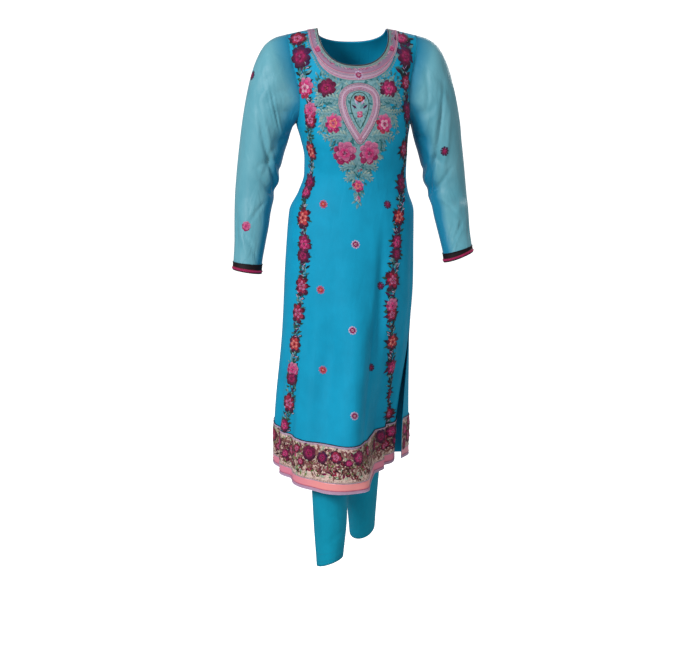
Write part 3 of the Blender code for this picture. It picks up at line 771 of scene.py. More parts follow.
def padded_shape(name: str, corners: int, width: float, pinch_root: float, pinch_tip: float,
                 heights: tuple[float, float], groove: float) -> Motif:
    """Model a padded satin-stitch shape one long, with its root at the origin.

    Args:
        name: what it is.
        corners: how many points its outline has.
        width: its width.
        pinch_root: how much of its width is left next to the root.
        pinch_tip: how much is left next to the tip.
        heights: how high the padding stands halfway in, and in the middle.
        groove: how far the middle sinks again.

    Returns:
        The shape.
    """
    bpy.ops.object.select_all(action="DESELECT")
    bpy.ops.mesh.primitive_circle_add(
        vertices=corners, radius=0.5, fill_type="NGON", location=(0, 0, 0), rotation=(0, 0, 0)
    )
    piece = bpy.context.object
    piece.name = name
    bpy.ops.object.mode_set(mode="EDIT")
    bpy.ops.mesh.select_all(action="SELECT")
    bpy.ops.transform.resize(value=(width, 1.0, 1.0))
    bpy.ops.mesh.inset(thickness=0.10, depth=0.0)
    bpy.ops.transform.translate(value=(0.0, 0.0, heights[0]))
    bpy.ops.mesh.inset(thickness=0.10 * width + 0.02, depth=0.0)
    bpy.ops.transform.translate(value=(0.0, 0.0, heights[1] - heights[0]))
    bpy.ops.mesh.poke(offset=-groove)
    bpy.ops.mesh.select_all(action="SELECT")
    bpy.ops.transform.translate(value=(0.0, 0.5, 0.0))
    for low, high, left in ((-0.01, 0.22, pinch_root), (0.80, 1.01, pinch_tip)):
        edit_select(lambda co, low=low, high=high: low <= co.y <= high)
        bpy.ops.transform.resize(value=(left, 1.0, 1.0), center_override=(0.0, 0.5, 0.0))
    bpy.ops.object.mode_set(mode="OBJECT")
    return taken_off(piece)


def rounded_knot() -> Motif:
    """Model a small domed knot or bead, one across."""
    bpy.ops.object.select_all(action="DESELECT")
    bpy.ops.mesh.primitive_uv_sphere_add(segments=8, ring_count=6, radius=0.5, location=(0, 0, 0))
    piece = bpy.context.object
    bpy.ops.object.mode_set(mode="EDIT")
    bpy.ops.mesh.select_all(action="SELECT")
    bpy.ops.mesh.bisect(plane_co=(0, 0, -0.1), plane_no=(0, 0, 1), clear_inner=True)
    bpy.ops.mesh.select_all(action="SELECT")
    bpy.ops.transform.translate(value=(0.0, 0.0, 0.1))
    bpy.ops.object.mode_set(mode="OBJECT")
    return taken_off(piece)


def running_stitch() -> Motif:
    """Model one short stitch of thread, one long along its up direction."""
    bpy.ops.object.select_all(action="DESELECT")
    bpy.ops.mesh.primitive_cylinder_add(
        vertices=6, radius=0.12, depth=0.6, rotation=(math.pi / 2, 0, 0), location=(0, 0, 0)
    )
    piece = bpy.context.object
    bpy.ops.object.transform_apply(location=True, rotation=True, scale=True)
    bpy.ops.object.mode_set(mode="EDIT")
    for sign in (-1, 1):
        edit_select(lambda co, sign=sign: co.y * sign > 0.29)
        bpy.ops.mesh.extrude_region_move(TRANSFORM_OT_translate={"value": (0.0, sign * 0.2, -0.10)})
        bpy.ops.transform.resize(value=(0.3, 1.0, 0.3))
    bpy.ops.object.mode_set(mode="OBJECT")
    return taken_off(piece)


class MotifBook:
    """The few shapes that all the needlework is copied from."""

    def __init__(self) -> None:
        """Model every shape once."""
        self.petal = padded_shape("petal", 12, 0.86, 0.45, 1.0, (0.045, 0.060), 0.015)
        self.leaf = padded_shape("leaf", 8, 0.44, 0.70, 0.55, (0.04, 0.05), 0.035)
        self.blade = padded_shape("blade", 6, 0.26, 0.60, 0.45, (0.05, 0.06), 0.02)
        self.knot = rounded_knot()
        self.stitch = running_stitch()


@dataclass(frozen=True)
class PetalRing:
    """A ring of petals: how many, their length, width and distance from the
    middle as shares of the flower, how far they stand up in metres, and the
    darker thread painted as shade on those that point down."""

    count: int
    reach: float
    width: float
    start: float
    silk: Silk
    rise: float = 0.0003
    turn: float = 0.0
    below: Silk | None = None


@dataclass(frozen=True)
class Bloom:
    """A kind of flower: its rings from the outside in, and its knots."""

    rings: tuple[PetalRing, ...]
    heart: Silk
    knots: int = 5
    knot_size: float = 0.09


def rose(outer: Silk, middle: Silk, inner: Silk, heart: Silk, full: int = 7,
         below: Silk = Silk.SLOE) -> Bloom:
    """A full round rose, dark round its edge, darker below as painted shade, and brighter inwards.
    """
    return Bloom((
        PetalRing(full, 0.30, 0.42, 0.21, outer, below=below),
        PetalRing(full - 1, 0.26, 0.36, 0.12, middle, 0.0006, 0.4),
        PetalRing(5, 0.20, 0.27, 0.05, inner, 0.0010, 0.1),
        PetalRing(3, 0.12, 0.15, 0.01, middle, 0.0013, 0.6),
    ), heart, 3, 0.06)


def sprig(edge: Silk, middle: Silk, inner: Silk, heart: Silk, beads: int = 9,
          broad: float = 0.32) -> Bloom:
    """A small single flower in a ring of beads."""
    return Bloom((
        PetalRing(beads, 0.20, 0.28, 0.29, edge),
        PetalRing(6, 0.26, broad, 0.08, middle, 0.0006, 0.3),
        PetalRing(4, 0.14, 0.18, 0.01, inner, 0.0010, 0.3),
    ), heart, 1, 0.10)


class Flowers(Enum):
    """The kinds of flower in the needlework."""

    MAGENTA_ROSE = rose(Silk.WINE, Silk.MAGENTA, Silk.HOT_PINK, Silk.BLUSH)
    DARK_ROSE = rose(Silk.WINE, Silk.WINE, Silk.MAGENTA, Silk.CORAL, 8)
    CRIMSON_ROSE = rose(Silk.GARNET, Silk.CRIMSON, Silk.ROSE, Silk.BLUSH)
    CORAL_ROSE = rose(Silk.GARNET, Silk.SCARLET, Silk.CORAL, Silk.CRIMSON)
    PLUM_ROSE = rose(Silk.PLUM, Silk.WINE, Silk.MAGENTA, Silk.ROSE)
    PINK_PEONY = rose(Silk.ROSE, Silk.HOT_PINK, Silk.BLUSH, Silk.MAGENTA, 8, Silk.CRIMSON)
    MAUVE_PEONY = rose(Silk.ROSE, Silk.ROSE, Silk.HOT_PINK, Silk.MAGENTA, 8, Silk.MAGENTA)
    SALMON_PEONY = rose(Silk.ROSE, Silk.HOT_PINK, Silk.CORAL, Silk.BLUSH, 7, Silk.MAGENTA)
    SMALL_RED = Bloom((PetalRing(5, 0.40, 0.48, 0.10, Silk.CRIMSON),), Silk.BLUSH, 1, 0.2)
    SMALL_DARK = Bloom((PetalRing(5, 0.40, 0.48, 0.10, Silk.GARNET),), Silk.CRIMSON, 1, 0.24)
    LILAC_SPRIG = sprig(Silk.LILAC, Silk.MAGENTA, Silk.BLUSH, Silk.MAGENTA, 10, 0.30)
    CORAL_SPRIG = sprig(Silk.ROSE, Silk.SCARLET, Silk.CORAL, Silk.BLUSH)
    DARK_SPRIG = sprig(Silk.PLUM, Silk.WINE, Silk.MAGENTA, Silk.ROSE)
    BUD = Bloom((
        PetalRing(3, 0.60, 0.40, 0.0, Silk.HOT_PINK),
        PetalRing(1, 0.45, 0.28, 0.0, Silk.MAGENTA, 0.0006),
    ), Silk.CRIMSON, 0)


class Needlework:
    """Embroidery on one surface, gathered by thread and made as one piece."""

    # A cord's sides, its tone from root to tip, and what a tapered end is left with.
    CORD_SIDES, CORD_TONE, TAPERED = 6, 0.6, 0.15

    def __init__(self, surface: Surface, book: MotifBook, base: float = 0.0) -> None:
        """Begin on a surface.

        Args:
            surface: what the embroidery lies on.
            book: the shapes to copy.
            base: how far out the cloth under it lies.
        """
        self.surface, self.book, self.base = surface, book, base
        self.draft = MeshDraft()
        self.silks: list[Silk] = []

    def slot(self, silk: Silk) -> int:
        """The number of a thread in this piece."""
        if silk not in self.silks:
            self.silks.append(silk)
        return self.silks.index(silk)

    def stamp(self, motif: Motif, silk: Silk, places: Array, sizes: Array, turns: Array | float,
              offsets: Array | None = None, rise: Array | float = 0.0002,
              height: float = 1.0) -> None:
        """Copy a shape on to the cloth, many at a time.

        Args:
            motif: the shape.
            silk: its thread.
            places: the coordinates of each copy's centre on the surface.
            sizes: its width and length.
            turns: its turn, anticlockwise from upright.
            offsets: how far from the centre its root lies, to the right and up.
            rise: how far it lies above the cloth, for all or for each.
            height: how thick it is, as a share of its length.
        """
        places, sizes, turns = np.atleast_2d(places), np.atleast_2d(sizes), np.atleast_1d(turns)
        flat = motif.points[None, :, :2] * sizes[:, None]
        cos, sin = np.cos(turns)[:, None], np.sin(turns)[:, None]
        x, y = flat[..., 0], flat[..., 1]
        turned = np.stack([x * cos - y * sin, x * sin + y * cos], -1)
        if offsets is not None:
            turned = turned + np.atleast_2d(offsets)[:, None]
        lift = np.broadcast_to(rise, len(sizes))[:, None]
        out = self.base + lift + motif.points[None, :, 2] * height * sizes[:, 1:]
        points = self.surface.wrap(places[:, 0], places[:, 1], turned, out)
        copies, size = points.shape[:2]
        loops = motif.loops[None] + (np.arange(copies) * size)[:, None]
        shift = (np.arange(copies) * 0.013)[:, None, None]
        tips = np.broadcast_to(motif.points[None, :, 1], (copies, size))
        flats = (flat + shift)[:, motif.loops]
        self.draft.add(points, loops, np.tile(motif.totals, copies), flats, tips, self.slot(silk))

    def scatter(self, silks: tuple[Silk, ...], picked: Array, spots: Array, length: Array,
                turns: Array, lift: float, step: float) -> None:
        """Work many leaves, each in the thread picked for it.

        Args:
            silks: the threads.
            picked: the number of each leaf's thread.
            spots: where the leaves are.
            length: their lengths, and their widths before they are pinched.
            turns: their turns.
            lift: how far the first thread's leaves lie above the cloth.
            step: how much higher each next thread's leaves lie.
        """
        for k, silk in enumerate(silks):
            mine = picked == k
            self.stamp(self.book.leaf, silk, spots[mine], pairs(length, length)[mine], turns[mine],
                       None, lift + step * k, 0.6)

    def stitches(self, spots: Array, width: float, length: float, turn: float = 0.0) -> None:
        """Sew a row of stitches in the cloth's own colour."""
        count = len(spots)
        self.stamp(self.book.stitch, Silk.TURQUOISE, spots, np.tile([width, length], (count, 1)),
                   np.full(count, turn), None, 0.0, 1.0)

    def flower(self, kind: Flowers, u: float, v: float, size: float, turn: float = 0.0,
               stretch: float = 1.0, lift: float = 0.0) -> None:
        """Work one flower.

        Args:
            kind: which flower.
            u: first coordinate of its middle.
            v: second coordinate of its middle.
            size: its diameter.
            turn: its turn.
            stretch: its height as a share of its width.
            lift: how much higher it lies than a flower worked straight on the cloth.
        """
        bloom = kind.value
        for ring in bloom.rings:
            turns = turn + ring.turn + round_turns(ring.count)
            uneven = 1.0 + 0.10 * np.sin(turns * 2.0 + size * 900.0)
            away = np.stack([-np.sin(turns), np.cos(turns) * stretch], 1) * ring.start * size
            upright = 1.0 + (stretch - 1.0) * np.abs(np.cos(turns))
            sizes = np.stack([ring.width * size * uneven, ring.reach * size * uneven * upright], 1)
            spot = np.tile([u, v], (ring.count, 1))
            rises = lift + ring.rise + 0.00025 * (np.arange(ring.count) % 2)
            # Petals that point down take the ring's darker thread below, painted shade on the
            # flower's lower side.
            low = (np.cos(turns + 0.5) < 0.1) & (ring.below is not None)
            for silk, mine in ((ring.silk, ~low), (ring.below, low)):
                if mine.any():
                    self.stamp(
                        self.book.petal, silk, spot[mine], sizes[mine], turns[mine],
                        away[mine], rises[mine], 0.9,
                    )
        if bloom.knots:
            turns = turn + round_turns(bloom.knots)
            reach = 0.0 if bloom.knots == 1 else 0.07 * size
            away = np.stack([-np.sin(turns), np.cos(turns)], 1) * reach
            sizes = np.full((bloom.knots, 2), bloom.knot_size * size)
            spot = np.tile([u, v], (bloom.knots, 1))
            self.stamp(
                self.book.knot, bloom.heart, spot, sizes, turns * 0.0, away, lift + 0.0018, 0.8
            )

    def cord(self, silk: Silk, path: Array, radius: float, rise: float = 0.0, closed: bool = False,
             taper: bool = True) -> None:
        """Lay a round thread along a path.

        Args:
            silk: the thread.
            path: its places on the surface.
            radius: half its thickness.
            rise: how far its middle lies above the cloth.
            closed: whether it runs back into its start.
            taper: whether its ends run out to nothing.
        """
        points, across, out = self.followed(path, closed)
        girth = np.full(len(path), radius)
        if taper and not closed:
            girth[[0, -1]] *= self.TAPERED
        turn = round_turns(self.CORD_SIDES)
        ring = (
            points[:, None]
            + out[:, None] * (self.base + rise + girth[:, None] * np.sin(turn))[..., None]
            + across[:, None] * (girth[:, None] * np.cos(turn))[..., None]
        )
        edges = np.arange(self.CORD_SIDES + 1) * (2 * math.pi * radius / self.CORD_SIDES)
        tips = np.full(ring.shape[:2], self.CORD_TONE)
        self.strip(silk, ring, edges, run_along(points), tips, closed)

    def followed(self, path: Array, closed: bool) -> tuple[Array, Array, Array]:
        """The points of a path, with the directions across it and outwards."""
        points, _, _, out = self.surface.frame(path[:, 0], path[:, 1])
        if closed:
            along = unit(np.roll(points, -1, axis=0) - np.roll(points, 1, axis=0))
        else:
            along = unit(np.gradient(points, axis=0))
        return points, np.cross(along, out), out

    def strip(self, silk: Silk, block: Array, edges: Array, length: Array, tips: Array,
              closed: bool) -> None:
        """Add the faces of a tube or a ribbon from its rows of points.

        Args:
            silk: the thread.
            block: the points, row after row.
            edges: where the edges of its columns lie across the flat cut.
            length: where its rows lie along the flat cut.
            tips: the tone at each point, from root to tip.
            closed: whether its last row joins its first.
        """
        rows, wide = block.shape[:2]
        ends = rows if closed else rows - 1
        i, j = np.meshgrid(np.arange(ends), np.arange(len(edges) - 1), indexing="ij")
        after, beside = (i + 1) % rows, (j + 1) % wide
        loops = np.stack(
            [i * wide + j, i * wide + beside, after * wide + beside, after * wide + j], -1
        )
        far = np.where(after == 0, length[-1] + 0.001, length[after])
        corners = ((j, length[i]), (j + 1, length[i]), (j + 1, far), (j, far))
        flats = np.stack([np.stack([edges[at], run], -1) for at, run in corners], 2)
        loops = loops.reshape(-1, 4)
        self.draft.add(block, loops, np.full(len(loops), 4), flats, tips, self.slot(silk))

    def ribbon(self, silk: Silk, path: Array, half: Array, rise: float, thick: float,
               closed: bool = False, columns: int = 8) -> None:
        """Lay a padded ribbon along a path.

        Args:
            silk: the thread.
            path: its places on the surface.
            half: half its width at each place.
            rise: how far its edges lie above the cloth.
            thick: how far its middle stands above its edges.
            closed: whether it runs back into its start.
            columns: how many cells it is wide.
        """
        points, across, _ = self.followed(path, closed)
        share = np.linspace(-1, 1, columns + 1)
        half = np.broadcast_to(half, len(path))
        move = across[:, None] * (half[:, None] * share)[..., None]
        uu, vv = self.surface.slide(
            np.repeat(path[:, :1], columns + 1, 1), np.repeat(path[:, 1:], columns + 1, 1), move
        )
        laid, _, _, normal = self.surface.frame(uu, vv)
        crown = self.base + rise + thick * (1 - np.abs(share) ** 4)
        crown[[0, -1]] = self.base
        laid = laid + normal * crown[None, :, None]
        tips = np.broadcast_to(1.0 - np.abs(share)[None], laid.shape[:2])
        self.strip(silk, laid, half.max() * share, run_along(points), tips, closed)

    def made(self, name: str) -> bpy.types.Object:
        """Make the embroidery as one piece."""
        return self.draft.build(name, list(self.silks))


# ------------------------------------------------------------------ the tunic's form
@dataclass(frozen=True)
class Fold:
    """A hanging fold: where it is at its top and at the hem from side to side,
    its width in the same units, its depth at the hem and where it starts."""

    across_top: float
    across_hem: float
    width: float
    depth: float
    start_z: float


@dataclass(frozen=True)
class Crease:
    """A soft trough, or a ridge where its depth is negative, from one place on
    a panel to another, with its half width and depth in metres."""

    u0: float
    v0: float
    u1: float
    v1: float
    width: float
    depth: float


def crease_rows(*rows: tuple[float, ...]) -> tuple[Crease, ...]:
    """Creases from their rows of numbers, in the order of their fields."""
    return tuple(Crease(*row) for row in rows)


def scaled(creases: tuple[Crease, ...], width: float, deeper: float = 1.0) -> tuple[Crease, ...]:
    """The same creases with their second coordinate in metres, and deeper or not."""
    return tuple(
        Crease(c.u0, c.v0 * width, c.u1, c.v1 * width, c.width, deeper * c.depth) for c in creases
    )


def creased(creases: tuple[Crease, ...], u: Array, v: Array, u_length: float) -> Array:
    """How far the creases take the cloth in at these places.

    Args:
        creases: the creases.
        u: first coordinates.
        v: second coordinates.
        u_length: how long one unit of the first coordinate is.

    Returns:
        The distances, positive inwards.
    """
    total = np.zeros(np.broadcast(u, v).shape)
    for c in creases:
        du, dv = (c.u1 - c.u0) * u_length, c.v1 - c.v0
        size = math.hypot(du, dv)
        x, y = (u - c.u0) * u_length, v - c.v0
        along = (x * du + y * dv) / size ** 2
        away = (x * dv - y * du) / size / c.width
        fade = smooth(along / 0.3) * smooth((1.0 - along) / 0.3)
        total = total + c.depth * fade * np.exp(-away * away)
    return total


class TunicForm:
    """The tunic's surface and how its panels are laid out on it."""

    hem_z, side_hem_rise = -1.086, 0.030
    edging_height, satin_height, border_height = 0.008, 0.026, 0.088
    underarm_z, slit_top_z = -0.220, -0.430
    neck_half_width, front_neck_drop, back_neck_drop = 0.082, 0.087, 0.026
    neck_squareness, neck_band_width, neck_bend = 0.86, 0.024, 0.72
    shoulder_tip_x, shoulder_tip_z, shoulder_roll = 0.152, -0.013, 0.085
    border_seam_share, back_fullness, flap_start = 0.76, 0.95, 0.78
    cloth, seam_gap, trim = 0.0012, 0.0003, 0.0010
    # About how far it is round from the middle to a side, how much of a fold's
    # depth its neighbours give back, and below where the hem's rise begins.
    half_girth, given_back, rise_from_z = 0.20, 0.22, -0.80
    sections = SizeTable(
        "z centre_x front_right front_left back_right back_left "
        "front_depth back_depth front_fullness slit_right slit_left left_flap",
        [
            (0.020, 0.000, 0.180, 0.180, 0.180, 0.180, 0.068, 0.070, 0.90, 0.0000, 0.0000, 0.0),
            (-0.050, 0.000, 0.168, 0.168, 0.168, 0.168, 0.080, 0.084, 0.90, 0.0000, 0.0000, 0.0),
            (-0.100, 0.000, 0.152, 0.152, 0.152, 0.152, 0.094, 0.095, 0.88, 0.0000, 0.0000, 0.0),
            (-0.160, 0.001, 0.141, 0.142, 0.141, 0.142, 0.112, 0.100, 0.86, 0.0000, 0.0000, 0.0),
            (-0.220, 0.002, 0.136, 0.138, 0.136, 0.138, 0.124, 0.098, 0.86, 0.0000, 0.0000, 0.0),
            (-0.255, 0.004, 0.128, 0.131, 0.128, 0.131, 0.126, 0.094, 0.86, 0.0000, 0.0000, 0.0),
            (-0.300, 0.007, 0.122, 0.126, 0.122, 0.126, 0.116, 0.087, 0.88, 0.0000, 0.0000, 0.0),
            (-0.340, 0.007, 0.123, 0.125, 0.123, 0.125, 0.104, 0.084, 0.90, 0.0000, 0.0000, 0.0),
            (-0.380, 0.004, 0.133, 0.133, 0.133, 0.133, 0.101, 0.091, 0.92, 0.0000, 0.0000, 0.0),
            (-0.430, 0.000, 0.153, 0.152, 0.153, 0.152, 0.105, 0.107, 0.94, 0.0006, 0.0006, 0.0),
            (-0.500, -0.003, 0.157, 0.155, 0.155, 0.155, 0.112, 0.118, 0.96, 0.0030, 0.0030, 0.0),
            (-0.600, -0.006, 0.160, 0.157, 0.156, 0.158, 0.122, 0.121, 0.98, 0.0050, 0.0060, 0.0),
            (-0.740, -0.011, 0.160, 0.148, 0.154, 0.166, 0.138, 0.123, 1.00, 0.0080, 0.0110, 0.014),
            (-0.900, -0.024, 0.158, 0.134, 0.155, 0.184, 0.162, 0.127, 1.05, 0.0110, 0.0200, 0.040),
            (-1.000, -0.030, 0.155, 0.127, 0.153, 0.194, 0.180, 0.131, 1.12, 0.0130, 0.0270, 0.054),
            (-1.120, -0.031, 0.154, 0.125, 0.152, 0.196, 0.194, 0.136, 1.15, 0.0150, 0.0330, 0.058),
        ],
    )
    armhole = SizeTable("z share", [
        (-0.220, 1.000), (-0.205, 0.970), (-0.185, 0.935), (-0.150, 0.900),
        (-0.100, 0.870), (-0.050, 0.855), (-0.013, 0.850),
    ])
    side_borders = SizeTable("z right left half_width", [
        (-0.020, 0.540, 0.500, 0.068), (-0.070, 0.560, 0.535, 0.068), (-0.140, 0.600, 0.630, 0.068),
        (-0.200, 0.585, 0.690, 0.068), (-0.285, 0.690, 0.770, 0.068), (-0.360, 0.700, 0.650, 0.068),
        (-0.440, 0.585, 0.490, 0.066), (-0.520, 0.545, 0.455, 0.066), (-0.600, 0.552, 0.415, 0.066),
        (-0.670, 0.595, 0.430, 0.066), (-0.750, 0.632, 0.470, 0.066), (-0.820, 0.630, 0.520, 0.066),
        (-0.890, 0.645, 0.600, 0.066), (-0.980, 0.715, 0.690, 0.066),
    ])
    folds = {
        Side.FRONT: (
            Fold(-0.74, -0.84, 0.055, 0.012, -0.620), Fold(-0.56, -0.63, 0.070, 0.015, -0.560),
            Fold(-0.30, -0.33, 0.090, 0.006, -0.700), Fold(0.10, 0.07, 0.110, 0.005, -0.520),
            Fold(0.345, 0.300, 0.050, 0.010, -0.440), Fold(0.62, 0.68, 0.080, 0.016, -0.480),
        ),
        Side.BACK: (
            Fold(-0.70, -0.76, 0.090, 0.015, -0.560), Fold(-0.34, -0.38, 0.100, 0.013, -0.600),
            Fold(0.02, 0.05, 0.110, 0.016, -0.540), Fold(0.42, 0.46, 0.090, 0.012, -0.640),
            Fold(0.74, 0.80, 0.080, 0.015, -0.580),
        ),
    }
    drop = Fold(0.36, 0.33, 0.150, 0.105, -0.640)
    creases = {
        Side.FRONT: crease_rows(
            (-0.86, -0.245, -0.30, -0.300, 0.007, 0.0016),
            (-0.90, -0.285, -0.40, -0.350, 0.006, 0.0013),
            (-0.94, -0.345, -0.45, -0.365, 0.006, 0.0016),
            (0.90, -0.255, 0.36, -0.305, 0.007, 0.0014),
            (0.92, -0.320, 0.40, -0.352, 0.006, 0.0017),
            (0.95, -0.372, 0.52, -0.392, 0.007, 0.0012),
            (-0.80, -0.120, -0.42, -0.240, 0.009, 0.0018),
            (0.80, -0.115, 0.46, -0.225, 0.009, 0.0020),
            (-0.18, -0.480, -0.22, -0.900, 0.012, 0.0016),
            (0.22, -0.430, 0.20, -0.800, 0.010, -0.0016),
            (-0.46, -0.440, -0.45, -0.820, 0.011, 0.0017),
            (0.52, -0.470, 0.55, -0.780, 0.010, 0.0016),
            (0.29, -0.420, 0.225, -1.080, 0.013, 0.0085),
            (0.27, -0.600, 0.215, -1.110, 0.018, 0.0150),
            (0.04, -0.600, 0.03, -1.110, 0.027, -0.0110),
            (-0.22, -0.640, -0.18, -1.110, 0.030, 0.0120),
            (0.42, -0.540, 0.40, -1.080, 0.024, 0.0046),
            (0.76, -0.460, 0.80, -0.900, 0.013, 0.0036),
            (-0.47, -0.600, -0.50, -1.090, 0.015, 0.0050),
            (-0.04, -0.410, 0.00, -1.080, 0.032, -0.0060),
            (-0.24, -0.520, -0.30, -1.060, 0.020, 0.0036),
            (-0.85, -0.040, -0.86, -0.235, 0.011, 0.0032),
            (0.84, -0.040, 0.87, -0.235, 0.011, 0.0036),
            (-0.20, -0.330, 0.16, -0.372, 0.012, 0.0020),
        ),
        Side.BACK: crease_rows(
            (-0.90, -0.250, -0.30, -0.330, 0.007, 0.0018),
            (-0.92, -0.330, -0.30, -0.355, 0.006, 0.0016),
            (0.90, -0.260, 0.34, -0.325, 0.007, 0.0016),
            (0.92, -0.340, 0.25, -0.370, 0.006, 0.0018),
            (-0.30, -0.395, 0.28, -0.380, 0.007, 0.0016),
            (-0.75, -0.110, -0.50, -0.240, 0.010, 0.0022),
            (0.75, -0.110, 0.48, -0.250, 0.010, 0.0020),
            (0.20, -0.450, 0.25, -1.080, 0.013, 0.0085),
            (0.37, -0.520, 0.43, -1.080, 0.016, -0.0050),
            (-0.16, -0.430, -0.20, -1.080, 0.024, -0.0060),
            (-0.40, -0.480, -0.50, -1.080, 0.013, 0.0088),
            (-0.64, -0.560, -0.72, -1.080, 0.017, -0.0045),
            (0.58, -0.430, 0.62, -1.080, 0.014, 0.0078),
            (0.02, -0.120, 0.00, -0.340, 0.020, 0.0042),
            (-0.34, -0.150, -0.22, -0.330, 0.010, 0.0030),
            (0.38, -0.160, 0.26, -0.335, 0.009, 0.0028),
        ),
    }
    lanes = {Side.FRONT: (4, 2, 3, 6, 6, 3, 2, 4), Side.BACK: (5, 6, 6, 5)}

    def shoulder_z(self, x: Array) -> Array:
        """Height of the shoulder line over x."""
        along = (np.abs(x) - self.neck_half_width) / (self.shoulder_tip_x - self.neck_half_width)
        return self.shoulder_tip_z * np.maximum(0.0, along) ** 1.3

    def fold_weight(self, fold: Fold, z: Array) -> Array:
        """How much of a fold there is at this height."""
        return smooth((fold.start_z - z) / (fold.start_z - self.hem_z))

    def taken_in(self, side: Side, across: Array, z: Array) -> Array:
        """How far folds and creases take the cloth in."""
        total = np.zeros(np.broadcast(across, z).shape)
        for fold in self.folds[side]:
            weight = self.fold_weight(fold, z)
            centre = fold.across_top + (fold.across_hem - fold.across_top) * weight
            away = (across - centre) / fold.width
            total = total + fold.depth * weight * (np.exp(-away * away) - self.given_back)
        return total + creased(self.creases[side], across, z, self.half_girth)

    def drop_back(self, across: Array, z: Array) -> Array:
        """How far the front skirt falls back beside the leading leg."""
        fold, weight = self.drop, self.fold_weight(self.drop, z)
        centre = fold.across_top + (fold.across_hem - fold.across_top) * weight
        beyond = smooth((across - centre) / fold.width + 0.5)
        return (
            fold.depth * weight * beyond
            * (1.0 - 0.75 * smooth((across - centre) / (1.0 - centre)))
        )

    def half_width(self, side: Side, across: Array, s: SimpleNamespace) -> Array:
        """The panel's half width on this side of its middle."""
        if side is Side.FRONT:
            return np.where(across > 0, s.front_left, s.front_right)
        return np.where(across > 0, s.back_left, s.back_right)

    def point(self, side: Side, across: Array, z: Array) -> Array:
        """Points of the tunic: across is -1 to 1 from side edge to side edge."""
        across, z = np.broadcast_arrays(np.clip(across, -1.0, 1.0), z)
        s = self.sections.read(z)
        angle = across * math.pi / 2
        sin, cos = np.sin(angle), np.maximum(0.0, np.cos(angle))
        depth = s.front_depth if side is Side.FRONT else s.back_depth
        fullness = s.front_fullness if side is Side.FRONT else self.back_fullness
        x = s.centre_x + self.half_width(side, across, s) * sin
        y = depth * cos ** fullness
        below = np.maximum(0.0, self.shoulder_z(x) - z) / self.shoulder_roll
        y = y * np.sqrt(np.maximum(0.0, 1.0 - (1.0 - np.minimum(below, 1.0)) ** 2))
        taken = self.taken_in(side, across, z) * smooth(below * 1.5)
        x, y = x - taken * sin, y - taken * cos
        if side is Side.FRONT:
            y = y - self.drop_back(across, z)
        slit = np.where(across > 0, s.slit_left, s.slit_right)
        y = y + slit / 2 * np.abs(sin) ** 6
        if side is Side.BACK:
            turned = smooth((across - self.flap_start) / (1.0 - self.flap_start))
            x, y = x - s.left_flap * turned, y - 0.8 * s.left_flap * turned
        return np.stack([x, side.value * y, z], -1)

    def across_at(self, side: Side, x: Array, z: Array) -> Array:
        """The across value at which the panel has this x."""
        s = self.sections.read(z)
        sine = (x - s.centre_x) / self.half_width(side, x - s.centre_x, s)
        return np.arcsin(np.clip(sine, -1.0, 1.0)) * 2 / math.pi

    def neck_place(self, side: Side, turn: Array, out: float = 0.0) -> tuple[Array, Array]:
        """The across value and height of the neckline, or of a line outside it."""
        drop = self.front_neck_drop if side is Side.FRONT else self.back_neck_drop
        angle = np.asarray(turn) * math.pi / 2
        wide = np.sign(angle) * np.abs(np.sin(angle)) ** self.neck_squareness
        down = np.maximum(0.0, np.cos(angle)) ** self.neck_squareness
        x = (self.neck_half_width + out) * wide
        z = self.shoulder_z(x) - (drop + out) * down
        return self.across_at(side, x, z), z

    def neck_edge(self, side: Side, turn: Array, out: float = 0.0) -> Array:
        """Points of the neckline, or of a line outside it."""
        return self.point(side, *self.neck_place(side, turn, out))

    def top_edge(self, side: Side, place: Array) -> Array:
        """Points of a panel's upper edge, below the neck band."""
        start = self.neck_half_width + self.neck_band_width
        x = np.sign(place) * (start + (self.shoulder_tip_x - start) * (np.abs(place) - 1.0))
        seam = np.stack([x, np.zeros_like(x), self.shoulder_z(x)], -1)
        neck = self.neck_edge(side, np.clip(place, -1.0, 1.0), self.neck_band_width)
        return np.where(np.abs(place)[..., None] <= 1.0, neck, seam)

    def columns(self, side: Side, z: Array, fine: int) -> tuple[Array, Array]:
        """The lengthwise lines of a panel at these heights.

        Args:
            side: which panel.
            z: heights, one for each row.
            fine: how many columns take the place of one of the solid's.

        Returns:
            The across values and the places on the upper edge, row by row.
        """
        rows = len(z)
        if side is Side.BACK:
            lines = [(-1.0, -2.0), (-0.55, -1.0), (0.0, 0.0), (0.55, 1.0), (1.0, 2.0)]
            across = np.tile([line[0] for line in lines], (rows, 1))
            place = np.tile([line[1] for line in lines], (rows, 1))
        else:
            border = self.side_borders.read(z)
            whole = np.arcsin(self.armhole.read(z).share) * 2 / math.pi
            half, found = border.half_width / whole, [(np.zeros(rows), 0.0)]
            for sign, centre in ((-1, border.right / whole), (1, border.left / whole)):
                lines = [
                    (sign * (centre - half) * 0.80, sign * self.neck_bend),
                    (sign * (centre - half), sign * 1.0),
                    (sign * (centre + half), sign * (1.0 + self.border_seam_share)),
                    (np.full(rows, float(sign)), sign * 2.0),
                ]
                found = lines[::-1] + found if sign < 0 else found + lines
            across = np.stack([line[0] for line in found], 1)
            place = np.tile([line[1] for line in found], (rows, 1))
        steps = [0.0]
        for k, cells in enumerate(self.lanes[side]):
            steps += [k + step / (cells * fine) for step in range(1, cells * fine + 1)]
        at = np.array(steps)
        lane = np.minimum(at.astype(int), len(self.lanes[side]) - 1)
        share = at - lane
        return tuple(
            block[:, lane] * (1 - share) + block[:, lane + 1] * share for block in (across, place)
        )

